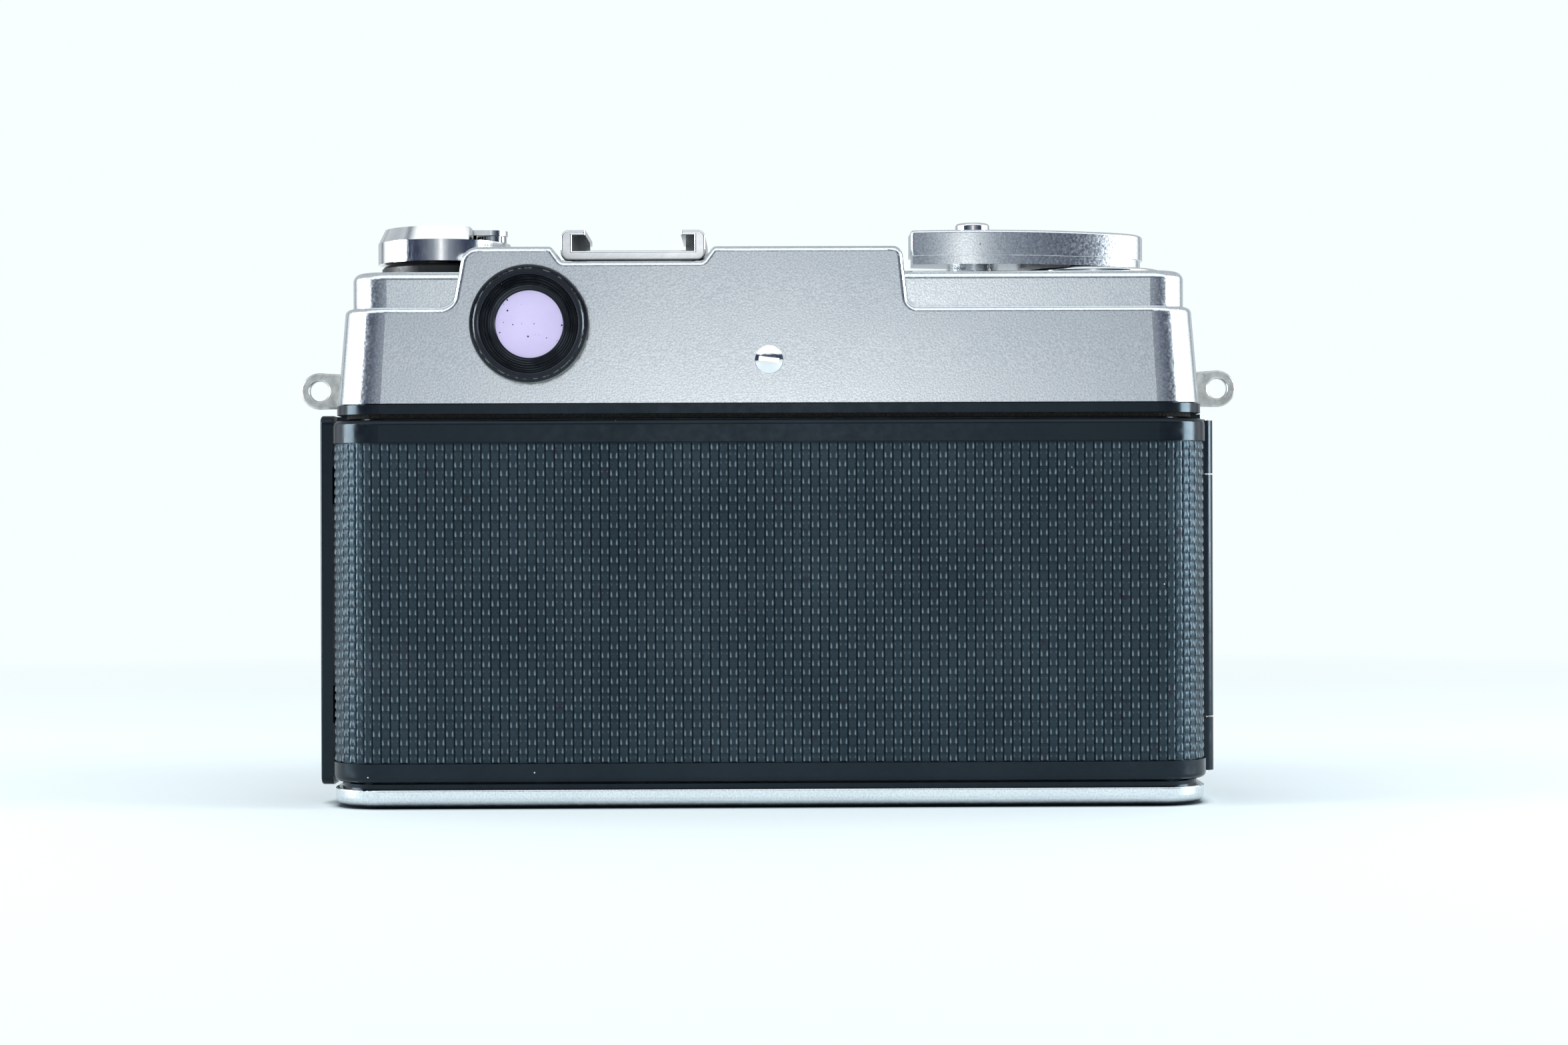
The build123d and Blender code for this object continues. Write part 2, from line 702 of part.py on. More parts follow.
with BuildPart() as counter_window:
    post(counter_x, counter_y, housing_top - skin, 85.6, 3.6)
    with Locations((counter_x, counter_y, 85.6 - 16)):
        Sphere(16, mode=Mode.INTERSECT)
    post(counter_x, counter_y, 83.9, housing_top - skin, 4.0)
save(counter_window, "counter_window")

# ---------------------------------------------------------------- release button

with BuildPart() as button_collar:
    post(button_x, button_y, ledge_top, 85.2, 4.1)
    fillet(button_collar.edges().group_by(Axis.Z)[-1], 0.5)
    post(button_x, button_y, 77.6, ledge_top, 3.4)
    post(button_x, button_y, 78.4, 86, button_radius + running, Mode.SUBTRACT)
    post(button_x, button_y, 77, 79, 1.2 + running, Mode.SUBTRACT)
save(button_collar, "button_collar")

with BuildPart() as release_button:
    post(button_x, button_y, 83.0, button_top, button_radius)
    fillet(release_button.edges().group_by(Axis.Z)[-1], 0.5)
    post(button_x, button_y, 87.2, 91, 1.6, Mode.SUBTRACT)
    post(button_x, button_y, 66.0, 83.0, 1.2)
save(release_button, "release_button")

with BuildPart() as button_spring:
    with BuildLine(Plane((button_x, button_y, 78.7))) as coil:
        Helix(pitch=0.95, height=4.0, radius=2.1)
    with BuildSketch(Plane(origin=coil.line @ 0, z_dir=coil.line % 0)):
        Circle(0.25)
    sweep(path=coil.line)
save(button_spring, "button_spring")

# ---------------------------------------------------------------- rewind

with BuildPart() as rewind_collar:
    post(rewind_x, 0, ledge_top, knob_bottom - gap, 9.7)
    chamfer(rewind_collar.edges().group_by(Axis.Z)[-1], 0.4)
    post(rewind_x, 0, 81, 84, 5.0 + running, Mode.SUBTRACT)
save(rewind_collar, "rewind_collar")

with BuildPart() as rewind_sleeve:
    post(rewind_x, 0, 78.9, 83.2, 5.0)
    post(rewind_x, 0, 78.9, 80.3, 6.2)
    post(rewind_x, 0, 78, 84, 3.0 + running, Mode.SUBTRACT)
save(rewind_sleeve, "rewind_sleeve")

with BuildPart() as rewind_knob:
    post(rewind_x, 0, knob_bottom, knob_step, knob_radius)
    with Locations((rewind_x, 0, knob_step)):
        Cone(knob_radius, 9.3, knob_top - knob_step, align=(Align.CENTER, Align.CENTER, Align.MIN))
    # The crank's end is open from the knob's edge, and its arm lies in a slot across the top.
    block((30, -20, knob_step), (46.05, 20, 95), Mode.SUBTRACT)
    block((30, -2.8, knob_step), (70, 2.8, 95), Mode.SUBTRACT)
    post(rewind_x, 0, 83, knob_step, 3.0, Mode.SUBTRACT)
    rod(facing_front(crank_pivot_x, -4.6, crank_pivot_z), 0.5, 9.2, Mode.SUBTRACT)
save(rewind_knob, "rewind_knob")

with BuildPart() as rewind_shaft:
    post(rewind_x, 0, 50.6, knob_step, 3.0)
    block((rewind_x - 5, -0.9, 50), (rewind_x + 5, 0.9, 55.5), Mode.SUBTRACT)
save(rewind_shaft, "rewind_shaft")

with BuildPart() as crank_pin:
    rod(facing_front(crank_pivot_x, -4.6, crank_pivot_z), 0.5, 9.2)
save(crank_pin, "crank_pin")

with BuildPart() as rewind_crank:
    block((crank_end_x, -2.5, 88.1), (crank_pivot_x, 2.5, knob_top))
    post(crank_end_x, 0, 88.1, knob_top, 2.5)
    rod(facing_front(crank_pivot_x, -2.5, crank_pivot_z), 1.0, 5.0)
    rod(facing_front(crank_pivot_x, -3, crank_pivot_z), 0.5 + running, 6.0, Mode.SUBTRACT)
    post(crank_end_x, 0, 88, 89, 0.6 + running, Mode.SUBTRACT)
save(rewind_crank, "rewind_crank")

with BuildPart() as crank_handle:
    post(crank_end_x, 0, knob_step + 0.2, 88.0, 2.3)
    post(crank_end_x, 0, 88.0, knob_top, 0.6)
    for tooth in range(16):
        with Locations(Location((crank_end_x, 0, 87.5), (0, 0, 22.5 * tooth))):
            with Locations((2.35, 0, 0)):
                Box(0.5, 0.3, 2, mode=Mode.SUBTRACT)
save(crank_handle, "crank_handle")

# ---------------------------------------------------------------- door, hinge and latch

with BuildPart() as back_door:
    for low, high, inset in (
        (door_bottom, leather_bottom, 0),
        (leather_bottom, leather_top, panel_inset),
        (leather_top, door_top, 0),
    ):
        with BuildSketch(Plane.XY.offset(low)):
            body_plan(inset)
            rear_half(split_y + 0.2)
        extrude(amount=high - low)
    for level in (0, -1):
        rim_edges = back_door.edges().group_by(Axis.Z)[level]
        fillet(rim_edges.filter_by(lambda e: e.center().Y > split_y + 0.5), 0.8)
    with BuildSketch(Plane.XY.offset(door_bottom + 1.0)):
        body_plan(1.6)
    extrude(amount=door_top - door_bottom - 2.0, mode=Mode.SUBTRACT)
    with BuildSketch(Plane.XY.offset(door_bottom)):
        body_plan(lip_inset)
    extrude(amount=door_top - door_bottom, mode=Mode.SUBTRACT)
    post(hinge_x, hinge_y, 0, 70, 1.75, Mode.SUBTRACT)
save(back_door, "back_door")

with BuildPart() as door_leatherette:
    with BuildSketch(Plane.XY.offset(leather_bottom + running)):
        body_plan(leather_inset)
        body_plan(panel_inset, Mode.SUBTRACT)
        rear_half(door_leather_start)
    extrude(amount=leather_top - leather_bottom - 2 * running)
save(door_leatherette, "door_leatherette")

with BuildPart() as door_hinge_leaf:
    post(hinge_x, hinge_y, lower_knuckle_top + 0.2, upper_knuckle_bottom - 0.2, barrel_radius)
    block(
        (hinge_x + 0.2, hinge_y + 0.6, lower_knuckle_top + 0.2),
        (panel_inset - body_half, 7.4, upper_knuckle_bottom - 0.2),
    )
    post(hinge_x, hinge_y, 0, 70, pin_radius + running, Mode.SUBTRACT)
save(door_hinge_leaf, "door_hinge_leaf")

with BuildPart() as body_hinge_leaf:
    post(hinge_x, hinge_y, knuckle_bottom, lower_knuckle_top, barrel_radius)
    post(hinge_x, hinge_y, upper_knuckle_bottom, knuckle_top, barrel_radius)
    for low, high in ((6.9, lower_knuckle_top), (upper_knuckle_bottom, 55.3)):
        block((hinge_x + 0.2, 1.4, low), (panel_inset - body_half, 4.4, high))
    block((-66.7, 1.4, 6.9), (panel_inset - body_half, 3.0, 55.3))
    post(hinge_x, hinge_y, 0, 70, pin_radius + running, Mode.SUBTRACT)
save(body_hinge_leaf, "body_hinge_leaf")

with BuildPart() as hinge_pin:
    post(hinge_x, hinge_y, knuckle_bottom - 0.2, knuckle_top + 0.2, pin_radius)
save(hinge_pin, "hinge_pin")

with BuildPart() as pressure_plate:
    block((-25.5, film_y + 0.4, 10), (26, 13.2, 53))
    fillet(pressure_plate.edges().filter_by(Axis.Y), 2.0)
save(pressure_plate, "pressure_plate")

with BuildPart() as pressure_spring:
    with BuildSketch(Plane.XY.offset(29)):
        with BuildLine():
            Polyline(
                (-20, 14.15), (-12, 15.0), (12, 15.0), (20, 14.15),
                (20, 14.55), (12, 15.4), (-12, 15.4), (-20, 14.55),
                close=True,
            )
        make_face()
    extrude(amount=5)
save(pressure_spring, "pressure_spring")

with BuildPart() as latch_bar:
    block((latch_inner, 1.6, foot_top), (latch_outer, 8.0, band_bottom + 0.1))
    fillet(latch_bar.edges().filter_by(Axis.X), 1.4)
    fillet(latch_bar.faces().sort_by(Axis.X)[-1].edges(), 0.4)
    for z in tenon_levels:
        block((65.8, 2.3, z + 0.2), (latch_inner, 4.2, z + tenon_height))
save(latch_bar, "latch_bar")

# ---------------------------------------------------------------- lens

with BuildPart() as sync_socket:
    rod(facing_front(sync_x, sync_seat, sync_z), sync_radius, 5.6)
    rod(facing_front(sync_x, sync_seat + 1.6, sync_z), 1.75, 5, Mode.SUBTRACT)
    rod(facing_front(sync_x, sync_seat + 1.6, sync_z), 0.5, 3.2)
save(sync_socket, "sync_socket")

with BuildPart() as lens_base:
    lens_disc(lens_seat, 19.4, base_radius)
    lens_disc(19.4, 26.4, guide_radius)
    lens_disc(19.4, 30, 18.6, Mode.SUBTRACT)
    lens_disc(10, 20, 16.0, Mode.SUBTRACT)
save(lens_base, "lens_base")

with BuildPart() as focus_ring:
    lens_disc(19.7, 24.4, grip_radius)
    lens_disc(24.4, 26.6, 25.2)
    for flute in range(24):
        turn = 15 * flute
        x = 29.0 * math.cos(math.radians(turn))
        z = lens_z + 29.0 * math.sin(math.radians(turn))
        rod(facing_front(x, 20.3, z), 2.9, 3.4, Mode.SUBTRACT)
    lens_disc(19, 30, guide_radius + running, Mode.SUBTRACT)
save(focus_ring, "focus_ring")

with BuildPart() as lens_barrel:
    lens_disc(9.0, 19.9, 12.0)
    lens_disc(19.9, 27.2, 18.6 - running)
    lens_disc(27.0, 28.0, barrel_radius_outer)
    lens_disc(28.0, 36.8, core_radius)
    lens_disc(8, 40, light_path, Mode.SUBTRACT)
    lens_disc(8, 12.0, 10.5, Mode.SUBTRACT)
    lens_disc(30.0, 33.0, 19.5, Mode.SUBTRACT)
    lens_disc(35.0, 40, 13.0, Mode.SUBTRACT)
save(lens_barrel, "lens_barrel")

with BuildPart() as aperture_ring:
    lens_disc(28.15, 31.6, 25.4)
    for flute in range(48):
        with Locations(facing_front(0, 30.9, lens_z).rotated((0, 7.5 * flute, 0)).location):
            with Locations((25.5, 0, 0)):
                Box(0.7, 0.8, 1.6, mode=Mode.SUBTRACT)
    lens_disc(28, 32, core_radius + running, Mode.SUBTRACT)
save(aperture_ring, "aperture_ring")

with BuildPart() as shutter_speed_ring:
    lens_disc(31.9, 35.2, 25.8)
    chamfer(shutter_speed_ring.edges().sort_by(Axis.Y)[0], 0.5)
    lens_disc(31, 36, core_radius + running, Mode.SUBTRACT)
save(shutter_speed_ring, "shutter_speed_ring")

with BuildPart() as selector_lever:
    lens_disc(35.5, 36.5, 24.2)
    with Locations(facing_front(0, 36.0, lens_z).rotated((0, 60, 0)).location):
        with Locations((26.2, 0, 0)):
            Box(5.6, 3.4, 1.0)
    lens_disc(35, 37, core_radius + running, Mode.SUBTRACT)
save(selector_lever, "selector_lever")

with BuildPart() as front_bezel:
    with BuildSketch(Plane(origin=(0, 0, lens_z), z_dir=(0, 0, 1))):
        with BuildLine():
            Polyline(
                (12.4, -36.8), (24.0, -36.8), (24.0, -42.5), (23.5, -lens_front),
                (22.5, -lens_front), (filter_radius, -39.4), (20.6, -39.4), (20.2, -38.9),
                (13.2, -38.2), (12.4, -38.9),
                close=True,
            )
        make_face()
    revolve(axis=Axis((0, 0, lens_z), (0, 1, 0)))
save(front_bezel, "front_bezel")

with BuildPart() as front_element:
    lens_disc(35.0, 36.8, 13.0)
    lens_disc(36.8, 39.4, 12.4)
    with Locations((0, -39.4 + 26, lens_z)):
        Sphere(26, mode=Mode.INTERSECT)
save(front_element, "front_element")

with BuildPart() as rear_element:
    lens_disc(9.2, 12.0, 10.5)
    with Locations((0, -9.2 - 30, lens_z)):
        Sphere(30, mode=Mode.INTERSECT)
save(rear_element, "rear_element")

blade_count = 5
with BuildPart() as shutter_blades:
    for blade in range(blade_count):
        turned = facing_front(0, 31.7 + 0.22 * blade, lens_z).rotated((0, 360 / blade_count * blade, 0))
        with BuildSketch(turned):
            with BuildLine():
                rim = CenterArc((0, 0), 16.0, -10, 100)
                Polyline(rim @ 1, (-1.5, 2.0), (-0.6, -1.0), rim @ 0)
            make_face()
        extrude(amount=0.12)
save(shutter_blades, "shutter_blades")

with BuildPart() as aperture_blades:
    for blade in range(blade_count):
        turned = facing_front(0, 30.3 + 0.22 * blade, lens_z).rotated((0, 360 / blade_count * blade, 0))
        with BuildSketch(turned):
            with BuildLine():
                rim = CenterArc((0, 0), 18.0, 0, 100)
                Line(rim @ 1, (-3.1, 8.5))
                ThreePointArc((-3.1, 8.5), (4.8, 5.6), (11.0, -0.5))
                Line((11.0, -0.5), rim @ 0)
            make_face()
        extrude(amount=0.12)
save(aperture_blades, "aperture_blades")
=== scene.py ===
"""Looks of a 35 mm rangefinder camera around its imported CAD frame. Lengths are in metres, +Z is up, the
lens looks along -Y and the back door faces +Y."""

import json
import math

import bmesh
import bpy
import numpy as np
from mathutils import Matrix, Vector

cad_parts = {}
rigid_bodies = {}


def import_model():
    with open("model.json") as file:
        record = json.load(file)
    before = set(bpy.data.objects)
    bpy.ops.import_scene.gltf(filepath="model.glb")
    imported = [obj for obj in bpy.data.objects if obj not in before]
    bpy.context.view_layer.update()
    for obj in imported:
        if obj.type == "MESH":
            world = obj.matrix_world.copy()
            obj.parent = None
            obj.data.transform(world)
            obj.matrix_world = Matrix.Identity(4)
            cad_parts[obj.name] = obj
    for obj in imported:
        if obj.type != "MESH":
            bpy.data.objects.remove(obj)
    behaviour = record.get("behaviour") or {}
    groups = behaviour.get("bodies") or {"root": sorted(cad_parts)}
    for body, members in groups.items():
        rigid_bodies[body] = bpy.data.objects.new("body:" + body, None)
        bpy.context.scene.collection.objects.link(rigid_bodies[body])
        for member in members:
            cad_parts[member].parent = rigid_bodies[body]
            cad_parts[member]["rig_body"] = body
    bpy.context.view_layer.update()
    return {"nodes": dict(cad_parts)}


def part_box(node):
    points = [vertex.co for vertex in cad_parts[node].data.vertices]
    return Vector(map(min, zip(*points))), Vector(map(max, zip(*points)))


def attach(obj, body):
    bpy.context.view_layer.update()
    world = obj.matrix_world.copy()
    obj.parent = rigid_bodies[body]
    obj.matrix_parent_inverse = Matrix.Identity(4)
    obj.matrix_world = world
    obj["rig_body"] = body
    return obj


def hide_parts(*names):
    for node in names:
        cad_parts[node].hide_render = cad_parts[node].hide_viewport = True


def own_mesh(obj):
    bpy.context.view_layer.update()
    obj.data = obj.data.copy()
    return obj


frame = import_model()
NODES = frame["nodes"]
MM = 0.001

# ---------------------------------------------------------------- camera, light and floor

CAMERA_PLACE = Vector((1.1, 433.2, 43.1)) * MM
CAMERA_YAW = math.radians(179.55)
CAMERA_ROLL = math.radians(-0.2)
FOCAL_LENGTH = 63.3
SENSOR_WIDTH = 36.0

PALE = (0.93, 1.0, 1.0)
FLOOR_HALF = 3.0
FLOOR_Z = -0.05 * MM
OBJECT_MIDDLE = (0, 0, 0.05)

# The tent's colour by level: 0 is where the lens looks, 1 is where the photographer stands. The bright middle
# lights the sides, the dark band keeps the black parts black, and the last steps are a white card.
TENT_STOPS = [
    (0.00, (0.50, 0.53, 0.56)),
    (0.10, (0.62, 0.66, 0.69)),
    (0.17, (0.20, 0.23, 0.27)),
    (0.26, (1.22, 1.28, 1.30)),
    (0.68, (1.28, 1.34, 1.36)),
    (0.72, (0.24, 0.31, 0.40)),
    (0.76, (0.035, 0.05, 0.10)),
    (0.88, (0.05, 0.06, 0.10)),
    (0.95, (0.14, 0.16, 0.21)),
    (0.985, (0.27, 0.30, 0.35)),
    (0.9965, (0.60, 0.64, 0.68)),
    (1.00, (2.00, 2.02, 2.00)),
]


def with_alpha(colour):
    return colour if isinstance(colour, bpy.types.NodeSocket) else (*colour, 1.0)


class Nodes:
    """A node tree, with short ways to add to it. Each value is a constant or another node's output."""

    def __init__(self, tree):
        self.tree = tree

    def feed(self, socket, value):
        if isinstance(value, bpy.types.NodeSocket):
            self.tree.links.new(value, socket)
        else:
            socket.default_value = value

    def node(self, kind, out, inputs=None, **settings):
        made = self.tree.nodes.new("ShaderNode" + kind)
        for name, value in settings.items():
            setattr(made, name, value)
        for name, value in (inputs or {}).items():
            self.feed(made.inputs[name], value)
        return made.outputs[out]

    def maths(self, operation, a, b=0.0):
        return self.node("Math", "Value", {0: a, 1: b}, operation=operation)

    def between(self, value, low, high, to_low=0.0, to_high=1.0):
        """Maps low..high to to_low..to_high and clamps; low may be the larger one."""
        source = {"Value": value, "From Min": low, "From Max": high}
        return self.node("MapRange", "Result", {**source, "To Min": to_low, "To Max": to_high})

    def mix(self, factor, a, b):
        inputs = {"Factor": factor, "A": with_alpha(a), "B": with_alpha(b)}
        return self.node("Mix", "Result", inputs, data_type="RGBA")


def add_camera():
    """A level view of the back, square on, from about 0.4 m."""
    data = bpy.data.cameras.new("camera")
    data.lens = FOCAL_LENGTH
    data.sensor_width = SENSOR_WIDTH
    data.clip_start = 0.01
    camera = bpy.data.objects.new("camera", data)
    bpy.context.scene.collection.objects.link(camera)
    upright = Matrix.Rotation(CAMERA_YAW, 4, "Z") @ Matrix.Rotation(math.radians(90), 4, "X")
    camera.matrix_world = Matrix.Translation(CAMERA_PLACE) @ upright @ Matrix.Rotation(CAMERA_ROLL, 4, "Z")
    bpy.context.scene.camera = camera


def add_area_light(name, place, aim, size, power, colour=(1.0, 1.0, 1.0)):
    """A square soft box that points from place to aim."""
    data = bpy.data.lights.new(name, "AREA")
    data.size = size
    data.energy = power
    data.color = colour
    light = bpy.data.objects.new(name, data)
    bpy.context.scene.collection.objects.link(light)
    direction = Vector(aim) - Vector(place)
    light.matrix_world = Matrix.Translation(place) @ direction.to_track_quat("-Z", "Y").to_matrix().to_4x4()
    return light


def add_world():
    """A white tent: bright all round, greyer overhead, with a dark band round the back door's side. The
    camera sees it as plain pale paper."""
    world = bpy.data.worlds.new("tent")
    bpy.context.scene.world = world
    world.use_nodes = True
    tent = Nodes(world.node_tree)
    direction = tent.node("TexCoord", "Generated")
    towards_back = tent.between(tent.node("SeparateXYZ", "Y", {"Vector": direction}), -1.0, 1.0)
    overhead = tent.between(tent.node("SeparateXYZ", "Z", {"Vector": direction}), 0.35, 0.6, 0.0, 0.4)
    ramp = tent.tree.nodes.new("ShaderNodeValToRGB")
    tent.feed(ramp.inputs["Fac"], tent.maths("SUBTRACT", towards_back, overhead))
    while len(ramp.color_ramp.elements) < len(TENT_STOPS):
        ramp.color_ramp.elements.new(0.5)
    for element, (level, colour) in zip(ramp.color_ramp.elements, TENT_STOPS):
        element.position = level
        element.color = (*colour, 1.0)
    seen = tent.mix(tent.node("LightPath", "Is Camera Ray"), ramp.outputs["Color"], PALE)
    tent.feed(tent.tree.nodes["Background"].inputs["Color"], seen)


def add_floor(material):
    mesh = bpy.data.meshes.new("floor")
    corners = [(-1, -1), (1, -1), (1, 1), (-1, 1)]
    mesh.from_pydata([(x * FLOOR_HALF, y * FLOOR_HALF, FLOOR_Z) for x, y in corners], [], [(0, 1, 2, 3)])
    mesh.materials.append(material)
    floor = bpy.data.objects.new("floor", mesh)
    bpy.context.scene.collection.objects.link(floor)


# ---------------------------------------------------------------- materials


class Finish(Nodes):
    """A Principled material, with short ways to wire procedural textures into it. Scales are per metre.
    colour, metallic and roughness are its plain values, on the sockets under any texture."""

    def __init__(self, name, colour, metallic=0.0, roughness=0.5, **sockets):
        self.material = bpy.data.materials.new(name)
        self.material.use_nodes = True
        super().__init__(self.material.node_tree)
        self.shader = self.tree.nodes["Principled BSDF"]
        self.place = self.node("TexCoord", "Object")
        self.set("Base Color", (*colour, 1.0))
        self.set("Metallic", metallic)
        self.set("Roughness", roughness)
        for socket, value in sockets.items():
            self.set(socket.replace("_", " "), value)

    def set(self, socket, value):
        self.feed(self.shader.inputs[socket], value)

    def noise(self, scale, detail=2.0, stretch=(1, 1, 1)):
        stretched = self.node("Mapping", "Vector", {"Vector": self.place, "Scale": stretch})
        return self.node("TexNoise", "Fac", {"Vector": stretched, "Scale": scale, "Detail": detail})

    def specks(self, scale, size, share=0.5):
        """1 inside small round specks, up to size of a cell of 1/scale; share is how many cells have one."""
        inputs = {"Vector": self.place, "Scale": scale}
        near = self.node("TexVoronoi", "Distance", inputs)
        cell = self.node("TexVoronoi", "Color", inputs)
        first_draw = self.node("SeparateColor", "Red", {"Color": cell})
        second_draw = self.node("SeparateColor", "Green", {"Color": cell})
        chosen = self.between(first_draw, share, share - 0.02)
        size_here = self.between(second_draw, 0, 1, size * 0.35, size)
        dot = self.maths("LESS_THAN", near, size_here)
        return self.maths("MULTIPLY", dot, chosen)

    def creases(self, reach):
        """1 in corners that little light gets into, 0 on open faces."""
        open_share = self.node("AmbientOcclusion", "AO", {"Distance": reach}, samples=16)
        return self.between(open_share, 0.75, 0.25)

    def bump(self, height, distance, strength):
        inputs = {"Height": height, "Distance": distance, "Strength": strength}
        self.set("Normal", self.node("Bump", "Normal", inputs))


def satin_chrome(name="satin_chrome", grimy_below=None):
    """Pearl-blasted chrome: a very fine even grain, faint clouds, grime in the corners and a little dust.
    Where grimy_below is given, it's darker near that height and under it, as on an edge that stands on
    tables."""
    f = Finish(name, (0.82, 0.84, 0.86), metallic=1.0)
    clouds = f.noise(90, 4)
    tone = f.mix(f.between(clouds, 0.3, 0.7), (0.79, 0.84, 0.87), (0.85, 0.89, 0.91))
    grain = f.noise(3600, 1)
    tone = f.mix(f.between(grain, 0.36, 0.50, 0.30, 0.0), tone, (0.50, 0.54, 0.60))
    tone = f.mix(f.between(grain, 0.54, 0.68, 0.0, 0.52), tone, (0.96, 0.99, 1.0))
    grime = f.maths("MULTIPLY", f.creases(1.2 * MM), f.between(f.noise(900, 3), 0.35, 0.6))
    tone = f.mix(f.maths("MULTIPLY", grime, 0.75), tone, (0.12, 0.10, 0.085))
    tone = f.mix(f.specks(210, 0.035, 0.35), tone, (0.18, 0.18, 0.19))
    if grimy_below:
        height = f.node("SeparateXYZ", "Z", {"Vector": f.place})
        haze = f.between(height, 3.2 * grimy_below, 2.0 * grimy_below, 0.02, 0.16)
        tone = f.mix(haze, tone, (0.2, 0.21, 0.23))
        dirt = f.between(height, 1.35 * grimy_below, 0.6 * grimy_below, 0.0, 0.92)
        tone = f.mix(dirt, tone, (0.02, 0.03, 0.035))
    f.set("Base Color", tone)
    f.set("Roughness", f.between(f.noise(2600, 2), 0.25, 0.75, 0.13, 0.24))
    f.bump(grain, 0.012 * MM, 0.5)
    return f.material


def polished_chrome(name="polished_chrome", reach=1.6 * MM):
    """Bright chrome with hairline scratches and a faint haze, dark in corners up to reach wide."""
    f = Finish(name, (0.88, 0.90, 0.91), metallic=1.0)
    haze = f.noise(160, 4)
    tone = f.mix(f.between(haze, 0.35, 0.7), (0.80, 0.82, 0.84), (0.92, 0.935, 0.94))
    f.set("Base Color", f.mix(f.maths("MULTIPLY", f.creases(reach), 0.9), tone, (0.035, 0.04, 0.045)))
    hairlines = f.noise(900, 3, (1, 9, 1))
    f.set("Roughness", f.between(hairlines, 0.3, 0.75, 0.05, 0.17))
    f.bump(hairlines, 0.006 * MM, 0.4)
    return f.material


def black_paint():
    """Glossy black enamel over castings: gentle orange peel, white dust and dull wear."""
    f = Finish("black_paint", (0.005, 0.006, 0.008), Specular_IOR_Level=0.34)
    f.set("Specular Tint", (0.60, 0.82, 1.0, 1.0))
    tone = f.mix(f.between(f.noise(60, 4), 0.35, 0.7), (0.003, 0.004, 0.006), (0.007, 0.009, 0.012))
    tone = f.mix(f.specks(170, 0.022, 0.5), tone, (0.55, 0.58, 0.60))
    tone = f.mix(f.specks(520, 0.03, 0.12), tone, (0.30, 0.32, 0.33))
    f.set("Base Color", tone)
    f.set("Roughness", f.between(f.noise(700, 3), 0.3, 0.7, 0.14, 0.26))
    f.bump(f.noise(900, 2), 0.02 * MM, 0.25)
    return f.material


def leatherette():
    """Black coated cloth: worn strands and dark gaps by the mesh's relief, faint rubs, sparse dust."""
    f = Finish("leatherette", (0.008, 0.011, 0.014), Specular_IOR_Level=0.34)
    f.set("Specular Tint", (0.42, 0.72, 0.95, 1.0))
    tone = f.mix(f.between(f.noise(60, 3), 0.35, 0.65), (0.014, 0.021, 0.026), (0.023, 0.033, 0.041))
    tone = f.mix(f.between(f.noise(420, 2), 0.62, 0.75), tone, (0.018, 0.014, 0.020))
    height = f.node("Attribute", "Fac", attribute_name="relief")
    patchy = f.between(f.noise(2600, 3), 0.25, 0.6, 0.55, 1.0)
    worn = f.maths("MULTIPLY", f.between(height, 0.60, 0.98), patchy)
    tone = f.mix(worn, tone, (0.24, 0.30, 0.34))
    sunk = f.between(height, 0.36, 0.10)
    tone = f.mix(sunk, tone, (0.001, 0.001, 0.002))
    rubs = f.between(f.noise(38, 3), 0.64, 0.76, 0.0, 0.25)
    tone = f.mix(rubs, tone, (0.060, 0.032, 0.030))
    tone = f.mix(f.specks(150, 0.03, 0.4), tone, (0.62, 0.66, 0.68))
    tone = f.mix(f.specks(70, 0.016, 0.4), tone, (0.80, 0.78, 0.66))
    f.set("Base Color", tone)
    grain = f.between(f.noise(3200, 3), 0.3, 0.7, 0.24, 0.38)
    f.set("Roughness", f.maths("MAXIMUM", grain, f.between(height, 0.10, 0.5, 0.95, 0.2)))
    f.bump(f.noise(4200, 4), 0.03 * MM, 0.35)
    return f.material


def black_anodised():
    """Black anodised alloy: a fine grain that shows as a soft satin, and sparse dust."""
    f = Finish("black_anodised", (0.016, 0.018, 0.021), metallic=0.35)
    tone = f.mix(f.between(f.noise(300, 4), 0.35, 0.7), (0.011, 0.012, 0.014), (0.017, 0.019, 0.022))
    tone = f.mix(f.specks(420, 0.05, 0.3), tone, (0.32, 0.33, 0.35))
    f.set("Base Color", tone)
    f.set("Roughness", f.between(f.noise(1500, 3), 0.3, 0.7, 0.30, 0.48))
    f.bump(f.noise(3800, 2), 0.01 * MM, 0.4)
    return f.material


def black_plastic():
    f = Finish("black_plastic", (0.02, 0.02, 0.022), roughness=0.5)
    f.set("Base Color", f.mix(f.noise(500, 3), (0.012, 0.012, 0.014), (0.03, 0.03, 0.033)))
    f.set("Roughness", f.between(f.noise(2200, 3), 0.3, 0.7, 0.42, 0.6))
    f.bump(f.noise(3000, 3), 0.03 * MM, 0.4)
    return f.material


def steel():
    """Bare steel gone dull: fine brushed lines, warm corners and dark pits."""
    f = Finish("steel", (0.55, 0.55, 0.53), metallic=1.0)
    tone = f.mix(f.between(f.noise(700, 5), 0.35, 0.7), (0.42, 0.42, 0.40), (0.70, 0.71, 0.69))
    tone = f.mix(f.maths("MULTIPLY", f.creases(0.8 * MM), 0.7), tone, (0.10, 0.075, 0.055))
    tone = f.mix(f.specks(1300, 0.10, 0.3), tone, (0.16, 0.14, 0.12))
    f.set("Base Color", tone)
    brushed = f.noise(2600, 3, (1, 1, 7))
    f.set("Roughness", f.between(brushed, 0.3, 0.7, 0.26, 0.46))
    f.bump(brushed, 0.015 * MM, 0.6)
    return f.material


